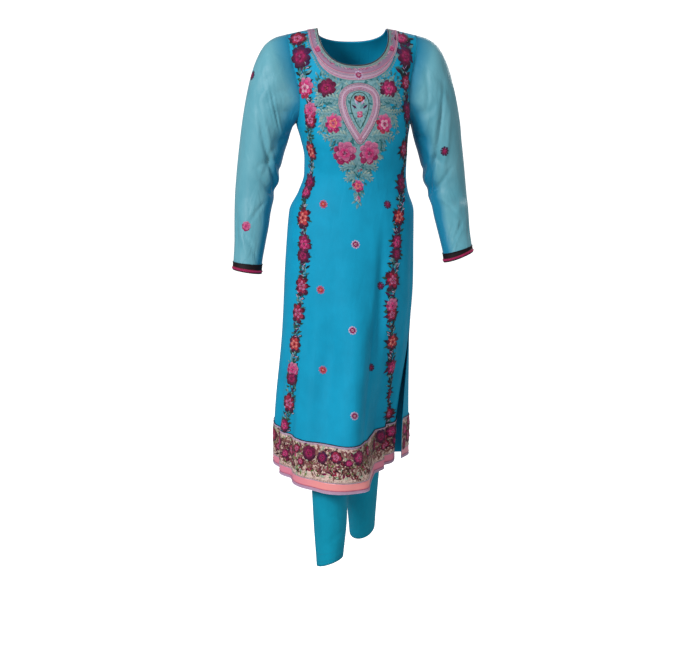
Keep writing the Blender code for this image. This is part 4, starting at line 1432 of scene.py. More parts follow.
    def panel_point(self, side: Side, z: Array, across: Array, place: Array) -> Array:
        """Points of a panel; z is the height of the row at the side edge."""
        low = self.point(side, across, self.hem_place(across, z))
        rise = np.clip((z - self.underarm_z) / (self.shoulder_tip_z - self.underarm_z), 0.0, 1.0)
        weight = smooth(rise) * 0.5 + 0.5 * rise ** 2
        s = self.sections.read(z)
        edge = np.arcsin(self.armhole.read(z).share)
        x = s.centre_x + self.half_width(side, across, s) * np.sin(across * edge)
        top = self.top_edge(side, place)
        x = x + (top[..., 0] - x) * weight ** 1.5
        at_z = z + (top[..., 2] - self.shoulder_tip_z) * weight
        high = self.point(side, self.across_at(side, x, at_z), at_z)
        return np.where((z > self.underarm_z)[..., None], high, low)

    def hem_place(self, across: Array, z: float) -> Array:
        """The real height of a level near the hem, which follows the hem."""
        weight = smooth((self.rise_from_z - z) / (self.rise_from_z - self.hem_z))
        return z + self.side_hem_rise * np.abs(across) ** 2.5 * weight


class PanelSurface(Surface):
    """A whole panel's surface, by across and height."""

    def __init__(self, form: TunicForm, side: Side) -> None:
        """Take the form and the side."""
        self.form, self.side = form, side
        self.outward = -1.0 if side is Side.BACK else 1.0

    def at(self, u: Array, v: Array) -> Array:
        """The panel's points, held below the shoulder line."""
        ridge = self.form.shoulder_z(self.form.point(self.side, u, v)[..., 0]) - 0.0008
        return self.form.point(self.side, u, np.minimum(v, ridge))


# ------------------------------------------------------------------ handing pieces over
def declare(piece: bpy.types.Object, nodes: tuple[str, ...] = ()) -> bpy.types.Object:
    """Say what a piece rides on and which nodes it replaces.

    Args:
        piece: the piece.
        nodes: the solids that it takes the place of.

    Returns:
        The same piece.
    """
    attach(piece, BODY)
    if nodes:
        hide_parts(*nodes)
    triangles = sum(len(face.vertices) - 2 for face in piece.data.polygons)
    log.info("%-28s %7d triangles", piece.name, triangles)
    return piece


# ------------------------------------------------------------------ the tunic
# Flowers of the side borders: across, z, size, kind and height over width.
VINE_FLOWERS = {
    Hand.RIGHT: (
        (-0.545, -0.026, 0.042, "CRIMSON_ROSE", 0.9), (-0.568, -0.068, 0.048, "PLUM_ROSE", 1.1),
        (-0.600, -0.139, 0.040, "PINK_PEONY", 1.2), (-0.565, -0.190, 0.034, "MAUVE_PEONY", 1.1),
        (-0.575, -0.212, 0.036, "CRIMSON_ROSE", 1.0), (-0.690, -0.284, 0.036, "CORAL_ROSE", 1.25),
        (-0.700, -0.356, 0.036, "PLUM_ROSE", 1.1), (-0.690, -0.380, 0.032, "MAGENTA_ROSE", 1.0),
        (-0.581, -0.441, 0.038, "CORAL_ROSE", 1.2), (-0.544, -0.502, 0.036, "MAGENTA_ROSE", 1.2),
        (-0.548, -0.530, 0.034, "PLUM_ROSE", 1.0), (-0.551, -0.602, 0.036, "CRIMSON_ROSE", 1.3),
        (-0.595, -0.668, 0.034, "CRIMSON_ROSE", 1.5), (-0.632, -0.744, 0.034, "CORAL_ROSE", 1.2),
        (-0.637, -0.806, 0.034, "MAUVE_PEONY", 1.0), (-0.641, -0.828, 0.034, "PLUM_ROSE", 1.0),
        (-0.655, -0.889, 0.036, "CRIMSON_ROSE", 1.25), (-0.700, -0.946, 0.030, "MAGENTA_ROSE", 1.0),
    ),
    Hand.LEFT: (
        (0.452, -0.024, 0.042, "MAGENTA_ROSE", 0.8), (0.530, -0.066, 0.044, "PLUM_ROSE", 1.2),
        (0.610, -0.126, 0.034, "CRIMSON_ROSE", 1.1), (0.690, -0.193, 0.040, "PLUM_ROSE", 1.3),
        (0.668, -0.280, 0.038, "CRIMSON_ROSE", 1.2), (0.630, -0.360, 0.040, "PLUM_ROSE", 1.2),
        (0.485, -0.440, 0.036, "CORAL_ROSE", 1.2), (0.456, -0.500, 0.034, "MAGENTA_ROSE", 1.1),
        (0.458, -0.527, 0.032, "PLUM_ROSE", 1.0), (0.412, -0.589, 0.038, "CRIMSON_ROSE", 1.3),
        (0.426, -0.650, 0.034, "MAUVE_PEONY", 1.0), (0.432, -0.672, 0.034, "CRIMSON_ROSE", 1.0),
        (0.473, -0.741, 0.036, "CORAL_ROSE", 1.2), (0.528, -0.808, 0.036, "MAGENTA_ROSE", 1.2),
        (0.600, -0.880, 0.028, "PLUM_ROSE", 1.2), (0.660, -0.935, 0.030, "CRIMSON_ROSE", 1.1),
    ),
}


# The threads that a vine's small leaves are picked from.
VINE_LEAVES = {
    Hand.RIGHT: (
        Silk.BOTTLE, Silk.INK, Silk.TEAL, Silk.BOTTLE,
        Silk.TEAL, Silk.GREY_GREEN, Silk.PLUM, Silk.BOTTLE,
    ),
    # The left vine's mix is darker, with more ink and sloe, as painted shade on the side away from
    # the key light.
    Hand.LEFT: (
        Silk.BOTTLE, Silk.INK, Silk.TEAL, Silk.INK,
        Silk.SLOE, Silk.GREY_GREEN, Silk.PLUM, Silk.INK,
    ),
}
# The threads of the leaves that are worked all over the net.
NET_LEAVES = (
    Silk.ROSEWOOD, Silk.OLIVE, Silk.TAUPE, Silk.CELADON,
    Silk.BROWN, Silk.WINE, Silk.TAUPE, Silk.ROSEWOOD,
)
# The net's large flowers: across and height above the satin.
NET_FLOWERS = {
    Side.FRONT: (
        (-0.94, 0.056), (-0.767, 0.058), (-0.60, 0.050), (-0.371, 0.062), (-0.240, 0.056),
        (-0.101, 0.062), (0.117, 0.060), (0.272, 0.064), (0.380, 0.050), (0.493, 0.066),
        (0.640, 0.056), (0.78, 0.062), (0.92, 0.052),
    ),
    Side.BACK: tuple(
        (a, 0.055 + 0.006 * (k % 2)) for k, a in enumerate(np.linspace(-0.9, 0.80, 10))
    ) + ((0.885, 0.074), (0.945, 0.052), (0.890, 0.030), (0.950, 0.012)),
}


@dataclass
class Tunic:
    """The kameez: two panels with their neck bands, hem bands and needlework."""

    # How far apart the yoke's scattered leaves are, across and down.
    LEAF_STEPS: ClassVar[tuple[float, float]] = (0.0066, 0.0054)
    # The diameter of a scattered sprig, and how far apart two stitches are.
    SPRIG_SIZE: ClassVar[float] = 0.021
    STITCH_STEP: ClassVar[float] = 0.0042
    # How low the vines run, at the top of the net.
    VINE_END_Z: ClassVar[float] = -0.972

    book: MotifBook
    form: TunicForm = field(default_factory=TunicForm)
    row_fine: int = 4
    # How deep the worked crescent is below the braid at the middle, at what share
    # of the neckline it ends, and how far out the braid's outermost cord lies.
    crescent_depth: float = 0.0105
    crescent_end: float = 0.62
    braid_edge: float = 0.0236
    # Where the yoke's middle lies across the wearer.
    yoke_x: float = 0.006
    column_fine: int = 5
    neck_rows: int = 8

    def levels(self) -> list[float]:
        """The rows of a panel's solid, from hem to shoulder."""
        form = self.form
        satin_top = form.hem_z + form.satin_height
        border_top = satin_top + form.border_height
        skirt = [form.hem_z] + list(np.linspace(satin_top, border_top, 4))
        skirt += list(np.linspace(border_top, -0.50, 9))[1:]
        waist = [-0.465, form.slit_top_z, -0.405, -0.375, -0.340, -0.300, -0.260]
        return skirt + waist + list(np.linspace(form.underarm_z, form.shoulder_tip_z, 9))

    def grid(self, side: Side, z: Array, fine: int) -> tuple[Array, Array]:
        """A panel's points at these heights, and where they lie on its cut."""
        across, place = self.form.columns(side, z, fine)
        points = self.form.panel_point(
            side, np.repeat(z[:, None], across.shape[1], 1), across, place
        )
        steps = np.linalg.norm(np.diff(points, axis=1), axis=2)
        run = np.concatenate([np.zeros((len(z), 1)), np.cumsum(steps, axis=1)], 1)
        run -= run[:, run.shape[1] // 2][:, None]
        return points, np.stack([run, points[..., 2]], -1)

    def panel_sheet(self, side: Side) -> ClothSheet:
        """The whole panel, with the strip under the neck band."""
        form, fine = self.form, self.column_fine
        z = finer(self.levels(), self.row_fine)
        points, flat = self.grid(side, z, fine)
        sheet, turned = ClothSheet(), side is Side.BACK
        index = sheet.add_points(points)
        sheet.add_cells(index, flat, turned)
        lanes = form.lanes[side]
        first = (sum(lanes[:2]) if side is Side.FRONT else lanes[0]) * fine
        last = index.shape[1] - first
        top = index[-1, first:last]
        _, place = form.columns(side, z[-1:], fine)
        turns = place[0, first:last]
        outs = form.neck_band_width * (1 - np.arange(1, self.neck_rows + 1) / self.neck_rows)
        strip = np.stack([form.neck_edge(side, turns, out) for out in outs])
        strip_index = np.vstack([top[None], sheet.add_points(strip)])
        strip_flat = np.stack([strip[..., 0], strip[..., 2]], -1)
        sheet.add_cells(strip_index, np.concatenate([flat[-1:, first:last], strip_flat]), turned)
        plane = side.value * form.seam_gap / 2
        seam = (z >= form.slit_top_z) & (z <= form.underarm_z + 1e-9)
        for column in (0, -1):
            sheet.pin(index[seam, column], 1, plane)
            sheet.pin(strip_index[1:, column], 1, plane)
        sheet.pin(index[-1, :first + 1], 1, plane)
        sheet.pin(index[-1, last - 1:], 1, plane)
        return sheet

    def band_sheet(self, side: Side, low: float, high: float, rows: int) -> ClothSheet:
        """A strip of a panel between two levels of its skirt."""
        points, flat = self.grid(side, np.linspace(low, high, rows + 1), self.column_fine)
        sheet = ClothSheet()
        sheet.add_cells(sheet.add_points(points), flat, side is Side.BACK)
        return sheet

    def neck_sheet(self, side: Side) -> ClothSheet:
        """The strip of the neck band."""
        form = self.form
        turns = np.linspace(-1, 1, 121)
        outs = form.neck_band_width * (1 - np.arange(self.neck_rows + 1) / self.neck_rows)
        points = np.stack([form.neck_edge(side, turns, out) for out in outs])
        flat = pairs(run_along(points[-1])[None], -outs[:, None])
        sheet = ClothSheet()
        index = sheet.add_points(points)
        sheet.add_cells(index, flat, side is Side.BACK)
        for column in (0, -1):
            sheet.pin(index[:, column], 1, side.value * form.seam_gap / 2)
        return sheet

    def build(self) -> None:
        """Make both panels, their bands and all that is worked on them."""
        for side in Side:
            self.build_panel(side)
        self.build_neckwork()
        self.build_yoke()
        for hand in Hand:
            self.build_side_vine(hand)
        for side in Side:
            self.build_hemwork(side)
        self.build_sprigs()
        self.build_stitching()

    def build_panel(self, side: Side) -> None:
        """Make one panel with its neck band, net border, satin band and edging."""
        form, low, word = self.form, self.form.seam_gap, side.word
        sheet = self.panel_sheet(side)
        panel = sheet.shell(f"panel_{word}", -form.cloth, 0.0, TURQUOISE_CREPE)
        declare(panel, (f"kameez_{word}",))
        satin_top = form.hem_z + form.satin_height
        border_top, edge_top = satin_top + form.border_height, form.hem_z + form.edging_height
        neck_cut = (form.neck_band_width, 0.41 if side is Side.FRONT else 0.34)
        for name, sheet, finish, slot, node, flat in (
            ("neck_braid", self.neck_sheet(side),
             MAUVE_BRAID, "neck_embroidery", "neck_band", neck_cut),
            ("net_border", self.band_sheet(side, satin_top, border_top, 14),
             PALE_NET, "embroidered_net", "hem_border", (0.55, 0.088)),
            ("satin_band", self.band_sheet(side, edge_top, satin_top, 6),
             CORAL_SATIN, "coral_satin", "hem_satin", (0.57, 0.018)),
            ("hem_edging", self.band_sheet(side, form.hem_z, edge_top, 4),
             LILAC_EDGING, "coral_satin", "", (0.52, 0.010)),
        ):
            piece = sheet.shell(f"{name}_{word}", low, low + form.trim, finish)
            declare(piece, (f"{node}_{word}",) if node else ())

    def neck_spots(self, side: Side, turns: Array, out: Array | float) -> Array:
        """Places along the neckline, at a distance outside it."""
        return np.stack(self.form.neck_place(side, turns, out), 1)

    def deeper(self, turn: Array) -> Array:
        """How much deeper than its braid the worked band is, along the front neckline."""
        swell = np.maximum(0.0, np.cos(turn / self.crescent_end * math.pi / 2))
        return self.crescent_depth * swell ** 0.8

    def neck_crescent(self, work: Needlework) -> None:
        """Work the crescent that deepens the neck band at the centre front."""
        turn = np.linspace(-0.60, 0.60, 90)
        deep = self.deeper(turn)

        def along(share: float) -> Array:
            """Places at this share of the crescent's depth."""
            return self.neck_spots(Side.FRONT, turn, self.braid_edge + deep * share)

        work.ribbon(Silk.MAUVE, along(0.5), deep / 2 + 0.0006, 0.0004, 0.0009, columns=10)
        for share, silk, radius, rise in (
            (0.30, Silk.BLUSH, 0.0007, 0.0011), (0.52, Silk.MAUVE, 0.0009, 0.0011),
            (0.74, Silk.ROSE, 0.0007, 0.0010), (0.96, Silk.BLUSH, 0.0009, 0.0006),
            (1.12, Silk.GREY_GREEN, 0.0010, 0.0003),
        ):
            work.cord(silk, along(share), radius, rise)

    def build_neckwork(self) -> None:
        """Pipe the neckline, work the neck band and edge it with small scallops."""
        for side in Side:
            front = side is Side.FRONT
            work = Needlework(
                PanelSurface(self.form, side), self.book, self.form.seam_gap + self.form.trim
            )
            turns = np.linspace(-0.995, 0.995, 160)
            for out, silk, radius in (
                (0.0014, Silk.CHARCOAL, 0.0014),
                (0.0040, Silk.SILVER, 0.0010),
                (0.0058, Silk.GREY_GREEN, 0.0009),
                (0.0074, Silk.SILVER, 0.0007),
                (0.0190, Silk.ROSE, 0.0006),
                (0.0204, Silk.BLUSH, 0.0008),
                (0.0232, Silk.MAUVE if front else Silk.GREY_GREEN, 0.0009),
            ):
                work.cord(silk, self.neck_spots(side, turns, out), radius, 0.0002, taper=False)
            count = 46 if front else 32
            self.neck_blades(work, side, count)
            turns = np.linspace(-0.985, 0.985, count + 18)
            edge = self.neck_spots(
                side, turns, 0.0245 + (1.15 * self.deeper(turns) if front else 0.0)
            )
            work.stamp(
                self.book.leaf, Silk.GREY_GREEN, edge, np.tile([0.0125, 0.0085], (len(edge), 1)),
                self.leaning(edge) + math.pi, None, -0.0009, 0.8,
            )
            if front:
                for turn, out, size, kind in (
                    (0.02, self.braid_edge, 0.021, Flowers.LILAC_SPRIG),
                    (-0.70, 0.0125, 0.015, Flowers.MAUVE_PEONY),
                    (0.72, 0.0125, 0.015, Flowers.MAUVE_PEONY),
                ):
                    work.flower(kind, *self.neck_spots(side, np.array([turn]), out)[0], size)
            declare(work.made(f"neck_needlework_{side.word}"))

    def leaning(self, spots: Array) -> Array:
        """How far a line of places leans from level, all along it."""
        return np.arctan2(np.gradient(spots[:, 1]), np.gradient(spots[:, 0]) * self.form.half_girth)

    def neck_blades(self, work: Needlework, side: Side, count: int) -> None:
        """Work small crossing blades along the middle of the neck band.

        Args:
            work: the needlework that they belong to.
            side: which panel.
            count: how many places they may be at.
        """
        rng = np.random.default_rng(3)
        spots = self.neck_spots(side, np.linspace(-0.98, 0.98, count), 0.0123)
        lean = self.leaning(spots)
        for k, silk in enumerate((Silk.MAUVE, Silk.BLUSH, Silk.ROSE, Silk.GREY_GREEN)):
            mine = rng.permutation(count)[: count // 2]
            way = 1.0 if k % 2 else -1.0
            work.stamp(
                self.book.blade, silk, spots[mine], np.tile([0.0120, 0.0125], (len(mine), 1)),
                lean[mine] + way * rng.uniform(0.6, 1.2, len(mine)), None, 0.0001 + 0.0001 * k, 0.6,
            )

    def front_spots(self, x: Array | float, z: Array | float) -> Array:
        """Places on the front, by their x and height."""
        return pairs(self.form.across_at(Side.FRONT, np.asarray(x), np.asarray(z)), z)

    def build_yoke(self) -> None:
        """Work the keyhole braid, its flowers and the leafy ground round them."""
        rng = np.random.default_rng(7)
        work = Needlework(PanelSurface(self.form, Side.FRONT), self.book)
        self.yoke_ground(work, rng)
        self.neck_crescent(work)
        self.fronds(work)
        self.keyhole(work)
        for x, z, size, kind, stretch in (
            (-0.069, -0.1395, 0.046, Flowers.DARK_ROSE, 1.0),
            (0.076, -0.141, 0.047, Flowers.MAGENTA_ROSE, 1.0),
            (-0.055, -0.219, 0.044, Flowers.SALMON_PEONY, 1.05),
            (0.064, -0.221, 0.044, Flowers.PINK_PEONY, 1.05),
            (-0.0285, -0.287, 0.053, Flowers.MAUVE_PEONY, 1.12),
            (0.0285, -0.287, 0.051, Flowers.MAUVE_PEONY, 1.12),
            (0.006, -0.163, 0.026, Flowers.CORAL_ROSE, 0.8),
            (0.004, -0.364, 0.029, Flowers.SALMON_PEONY, 1.0),
            (0.006, -0.199, 0.016, Flowers.PINK_PEONY, 1.1),
            (0.006, -0.326, 0.013, Flowers.SMALL_RED, 1.0),
        ):
            work.flower(kind, *self.front_spots(x, z), size, rng.uniform(0, 1.2), stretch)
        for x, z, turn, silk in (
            (-0.001, -0.186, 0.9, Silk.PLUM), (0.013, -0.186, -0.9, Silk.PLUM),
            (0.002, -0.178, 0.5, Silk.LILAC), (0.010, -0.178, -0.5, Silk.LILAC),
            (0.004, -0.386, 2.8, Silk.MAUVE), (0.004, -0.386, 3.5, Silk.ROSE),
            (0.004, -0.345, 0.5, Silk.TEAL), (0.004, -0.345, -0.5, Silk.TEAL),
        ):
            work.stamp(
                self.book.leaf, silk, self.front_spots(x, z), (0.012, 0.015), turn, None, 0.0008
            )
        declare(work.made("yoke_needlework"))

    def yoke_ground(self, work: Needlework, rng: np.random.Generator) -> None:
        """Lay the yoke's sage ground and scatter it with small leaves.

        Args:
            work: the needlework that they belong to.
            rng: where its uneven places come from.
        """
        outline = SizeTable("z half", [
            (-0.100, 0.094), (-0.150, 0.094), (-0.200, 0.086), (-0.240, 0.076), (-0.270, 0.062),
            (-0.300, 0.048), (-0.325, 0.030), (-0.345, 0.016), (-0.385, 0.009), (-0.410, 0.002),
        ])
        rows = np.concatenate([
            [(x, z) for x in np.arange(-half, half, self.LEAF_STEPS[0])]
            for z in np.arange(-0.112, -0.408, -self.LEAF_STEPS[1])
            for half in [float(outline.read(z).half)]
        ])
        rows = rows + rng.normal(0, 0.0014, rows.shape)
        lowest = self.form.neck_band_width + self.crescent_depth
        neck_z = float(self.form.neck_place(Side.FRONT, np.array(0.0), lowest)[1])
        x, z = rows[(rows[:, 0] / 0.106) ** 2 + (rows[:, 1] / neck_z) ** 2 > 1.05].T
        level = np.linspace(-0.1215, -0.330, 96)
        edge = 0.0035 * np.sin(level * 330.0) + 0.0015 * np.sin(level * 900.0)
        half = outline.read(level).half * 0.90 + edge
        centre = self.front_spots(np.full(len(level), self.yoke_x), level)
        work.ribbon(Silk.SAGE, centre, half, 0.0004, 0.0002, columns=32)
        turns = np.arctan2(z + 0.20, x * 1.2) - math.pi / 2 + rng.normal(0, 0.7, len(x))
        length = rng.uniform(0.010, 0.015, len(x))
        silks = (
            Silk.GREY_GREEN, Silk.TEAL, Silk.SILVER, Silk.GREY_GREEN, Silk.TEAL, Silk.GREY_GREEN,
        )
        picked = rng.integers(0, len(silks), len(x))
        work.scatter(
            silks, picked, self.front_spots(x + self.yoke_x, z), length, turns, 0.00015, 0.0001
        )

    def fronds(self, work: Needlework) -> None:
        """Work the pale leafy sprays that spread sideways from the keyhole."""
        for start, low, end, tip, bow in (
            (0.046, -0.166, 0.096, -0.170, 0.006), (0.046, -0.186, 0.094, -0.194, -0.005),
            (0.030, -0.248, 0.076, -0.252, 0.005), (0.040, -0.126, 0.046, -0.172, 0.007),
            (0.010, -0.318, 0.036, -0.322, 0.004), (0.008, -0.338, 0.026, -0.346, 0.003),
            (0.086, -0.150, 0.100, -0.185, 0.004), (0.078, -0.204, 0.090, -0.236, 0.004),
        ):
            t = np.linspace(0.0, 1.0, 3 + int(abs(end - start) * 90))
            for sign in (-1.0, 1.0):
                x = sign * (start + (end - start) * t)
                z = low + (tip - low) * t + bow * np.sin(math.pi * t)
                places = self.front_spots(x + self.yoke_x, z)
                work.cord(Silk.SILVER, places, 0.0007, 0.0007)
                heading = np.arctan2(np.gradient(z), np.gradient(x)) - math.pi / 2
                length = 0.017 * (1.0 - 0.35 * t)
                for lean, silk in ((0.75, Silk.SILVER), (-0.75, Silk.GREY_GREEN), (0.0, Silk.SAGE)):
                    work.stamp(self.book.leaf, silk, places, pairs(length * 0.85, length),
                               heading + lean * sign, None, 0.0008, 0.6)

    def keyhole(self, work: Needlework) -> None:
        """Lay the keyhole braid as a teardrop below the neck band."""
        half = SizeTable("z half", [
            (-0.1360, 0.000), (-0.1388, 0.0165), (-0.1455, 0.0300), (-0.1570, 0.0385),
            (-0.1760, 0.0405), (-0.2000, 0.0345), (-0.2230, 0.0235), (-0.2420, 0.0120),
            (-0.2590, 0.0000),
        ])
        bottom, top = half.places[[0, -1]]
        turn = np.linspace(0, math.pi, 60)

        def loop(grow: float) -> Array:
            """Places of the loop, set out from the braid's middle by this much."""
            z = top - (top - bottom) * (1 - np.cos(turn)) / 2
            width = np.interp(-z, -half.places[::-1], half.data[::-1, 1])
            x = np.concatenate([width, -width[-2:0:-1]])
            z = np.concatenate([z, z[-2:0:-1]])
            for _ in range(2):
                x, z = ((np.roll(v, 1) + 2 * v + np.roll(v, -1)) / 4 for v in (x, z))
            flow = np.stack([np.roll(x, -1) - np.roll(x, 1), np.roll(z, -1) - np.roll(z, 1)], 1)
            away = np.stack([-flow[:, 1], flow[:, 0]], 1) / np.linalg.norm(flow, axis=1)[:, None]
            return self.front_spots(x + self.yoke_x + away[:, 0] * grow, z + away[:, 1] * grow)

        work.ribbon(Silk.MAUVE, loop(0.0), 0.0075, 0.0009, 0.0006, closed=True, columns=10)
        for grow, silk, radius, rise in (
            (0.0075, Silk.BLUSH, 0.0008, 0.0010), (-0.0075, Silk.BLUSH, 0.0008, 0.0010),
            (0.0090, Silk.TEAL, 0.0008, 0.0004), (-0.0092, Silk.GREY_GREEN, 0.0010, 0.0004),
            (0.0022, Silk.BLUSH, 0.0006, 0.0016), (-0.0022, Silk.ROSE, 0.0006, 0.0016),
        ):
            work.cord(silk, loop(grow), radius, rise, closed=True)
        down = np.linspace(0.0, 1.0, 60)
        slot_x = 0.0215 * np.sin(math.pi * down ** 0.62) ** 0.8
        slot_z = -0.1490 - 0.0820 * down
        x, z = np.concatenate([slot_x, -slot_x[-2:0:-1]]), np.concatenate([slot_z, slot_z[-2:0:-1]])
        work.cord(Silk.BOTTLE, self.front_spots(x + self.yoke_x, z), 0.0010, 0.0006, closed=True)
        for grow, silk in ((0.0048, Silk.MAUVE), (-0.0048, Silk.BLUSH)):
            spots = loop(grow)[::2]
            work.stamp(
                self.book.knot, silk, spots, np.full((len(spots), 2), 0.0030),
                np.zeros(len(spots)), None, 0.0013,
            )

    def build_side_vine(self, hand: Hand) -> None:
        """Work one flowered side border, from the shoulder to the net."""
        form = self.form
        rng = np.random.default_rng(11 if hand is Hand.RIGHT else 23)
        work = Needlework(PanelSurface(form, Side.FRONT), self.book)

        def centre(z: Array) -> Array:
            """The across value of the border's middle."""
            row = form.side_borders.read(z)
            return -row.right if hand is Hand.RIGHT else row.left

        z = np.linspace(-0.014, self.VINE_END_Z, 420)
        for silk, radius, swing, pace in (
            (Silk.INK, 0.0010, 0.026, 88.0), (Silk.BOTTLE, 0.0009, -0.030, 88.0),
            (Silk.SILVER, 0.0007, 0.040, 131.0),
        ):
            work.cord(silk, pairs(centre(z) + swing * np.sin(z * pace), z), radius, 0.0003)
        silks = VINE_LEAVES[hand]
        heights = np.repeat(np.arange(-0.020, self.VINE_END_Z, -0.0050), 3)
        count = len(heights)
        side = np.tile([-1.0, 1.0], count)[:count]
        shoulder = 1.0 + 0.55 * smooth((heights + 0.17) / 0.08)
        across = centre(heights) + side * rng.uniform(0.0, 0.038, count) * shoulder
        turns = -side * rng.uniform(0.3, 1.5, count) + math.pi * rng.integers(0, 2, count)
        length = rng.uniform(0.009, 0.015, count) * shoulder
        picked = rng.integers(0, len(silks), count)
        spots = pairs(across, heights)
        work.scatter(silks, picked, spots, length, turns, 0.0002, 0.00012)
        mine = rng.permutation(count)[: count // 9]
        work.stamp(
            self.book.blade, Silk.LILAC, spots[mine], np.tile([0.009, 0.010], (len(mine), 1)),
            turns[mine], None, 0.0013, 0.6,
        )
        full, dark = (0.98, 0.33) if hand is Hand.RIGHT else (0.91, 0.40)
        self.flower_fans(work, hand, dark, rng)
        for across, z, size, kind, stretch in VINE_FLOWERS[hand]:
            turn = rng.uniform(0, 1.2)
            work.flower(Flowers[kind], across, z, size * full, turn, stretch * 1.12, 0.0008)
        declare(work.made(f"side_vine_{hand.word}"), (f"side_border_{hand.word}",))

    def flower_fans(self, work: Needlework, hand: Hand, reach: float,
                    rng: np.random.Generator) -> None:
        """Work the fan of dark leaves that shows round each flower of a vine.

        Args:
            work: the needlework that they belong to.
            hand: which vine.
            reach: a leaf's length as a share of its flower.
            rng: where their unevenness comes from.
        """
        leaves, silks = 9, (Silk.INK, Silk.BOTTLE, Silk.PLUM)
        threads = len(silks)
        each, fan = leaves // threads, round_turns(leaves)
        for k, (across, z, size, _, stretch) in enumerate(VINE_FLOWERS[hand]):
            away = np.stack([-np.sin(fan + k), np.cos(fan + k) * stretch], 1) * size * 0.30
            lengths = np.full((leaves, 2), size * reach) * rng.uniform(0.8, 1.15, (leaves, 1))
            for j, silk in enumerate(silks):
                turns = fan[j::threads] + k + rng.uniform(-0.5, 0.5, each)
                work.stamp(
                    self.book.leaf, silk, np.tile([across, z], (each, 1)), lengths[j::threads],
                    turns, away[j::threads], 0.0007, 0.6,
                )

    def build_hemwork(self, side: Side) -> None:
        """Work the flowers, leaves and stems of the net border."""
        form = self.form
        rng = np.random.default_rng(31 if side is Side.FRONT else 37)
        work = Needlework(PanelSurface(form, side), self.book, form.seam_gap + form.trim)
        net_z = form.hem_z + form.satin_height

        def laid(across: Array | float, height: Array | float) -> Array:
            """Places this far across and this high above the satin."""
            return pairs(across, form.hem_place(np.asarray(across), net_z + height))

        line = np.linspace(-0.995, 0.995, 260)
        for level, silk, radius in (
            (form.border_height + 0.0010, Silk.INK, 0.0011),
            (form.border_height - 0.0016, Silk.LILAC, 0.0015),
            (form.border_height - 0.0046, Silk.MAUVE, 0.0008),
            (0.0, Silk.MAUVE, 0.0009),
            (form.edging_height - form.satin_height, Silk.ROSE, 0.0007),
            (0.001 - form.satin_height, Silk.LILAC, 0.0010),
        ):
            work.cord(silk, laid(line, level), radius, 0.0002)
        for phase, silk, middle, pace in (
            (0.0, Silk.BROWN, 0.056, 33.0), (math.pi, Silk.OLIVE, 0.054, 33.0),
            (1.6, Silk.BROWN, 0.026, 33.0), (0.9, Silk.TAUPE, 0.040, 57.0),
            (2.7, Silk.ROSEWOOD, 0.062, 49.0),
        ):
            wave = middle + 0.016 * np.sin(line * pace + phase)
            work.cord(silk, laid(line, wave), 0.0008, 0.0003)
        count = 1320 if side is Side.FRONT else 700
        across = rng.uniform(-0.98, 0.98, count)
        height = 0.010 + 0.070 * rng.uniform(0, 1, count) ** 0.8
        turns, length = rng.uniform(0, 2 * math.pi, count), rng.uniform(0.007, 0.014, count)
        picked = rng.integers(0, len(NET_LEAVES), count)
        work.scatter(NET_LEAVES, picked, laid(across, height), length, turns, 0.0002, 0.0001)
        kinds = tuple(Flowers[kind] for kind in (
            "CRIMSON_ROSE", "MAGENTA_ROSE", "CRIMSON_ROSE", "DARK_ROSE", "PLUM_ROSE",
        ))
        for k, (across, height) in enumerate(NET_FLOWERS[side]):
            size = (0.036, 0.030, 0.034)[k % 3]
            work.flower(kinds[k % 5], *laid(across, height), size, rng.uniform(0, 1.2), 1.0, 0.0006)
        for k, (across, height, size) in enumerate((
            (-0.86, 0.030, 0.022), (-0.685, 0.034, 0.024), (-0.500, 0.066, 0.024),
            (-0.452, 0.038, 0.021), (0.012, 0.050, 0.019), (0.560, 0.036, 0.023),
            (0.705, 0.032, 0.022), (0.850, 0.030, 0.022),
        )):
            work.flower(kinds[k % 3], *laid(across, height), size, k * 0.8, 1.0, 0.0005)
        for k, across in enumerate(np.linspace(-0.92, 0.92, 21)):
            across += rng.normal(0, 0.012)
            kind = (Flowers.SMALL_RED, Flowers.SMALL_DARK, Flowers.SMALL_RED)[k % 3]
            spot = laid(across, 0.026 + rng.normal(0, 0.004))
            work.flower(kind, *spot, rng.uniform(0.011, 0.015), k)
        for k, across in enumerate(np.linspace(-0.88, 0.88, 12)):
            kind = (Flowers.BUD, Flowers.SMALL_DARK)[k % 2]
            work.flower(kind, *laid(across + 0.04, 0.048 + rng.normal(0, 0.006)), 0.014, k * 0.7)
        declare(work.made(f"hem_needlework_{side.word}"))

    def build_sprigs(self) -> None:
        """Work the single small flowers scattered over the skirt."""
        coral, lilac, dark = Flowers.CORAL_SPRIG, Flowers.LILAC_SPRIG, Flowers.DARK_SPRIG
        # The dark sprigs on the wearer's left of the front stand where the fold's shade falls, and
        # their dark thread is painted shade there.
        front = (
            (-0.362, -0.407, coral), (0.340, -0.409, dark), (0.000, -0.500, lilac),
            (-0.331, -0.608, coral), (0.279, -0.601, dark), (-0.015, -0.700, lilac),
            (-0.289, -0.799, coral), (0.254, -0.797, dark), (0.046, -0.899, lilac),
        )
        back = [
            (a, z, lilac if a == 0.0 else coral)
            for k, z in enumerate(np.arange(-0.20, -0.93, -0.10))
            for a in ((-0.34, 0.34) if k % 2 else (-0.66, 0.0, 0.66))
        ]
        for side, spots in ((Side.FRONT, front), (Side.BACK, back)):
            work = Needlework(PanelSurface(self.form, side), self.book)
            for k, (across, z, kind) in enumerate(spots):
                work.flower(kind, across, z, self.SPRIG_SIZE, k * 0.4)
            declare(work.made(f"sprigs_{side.word}"))

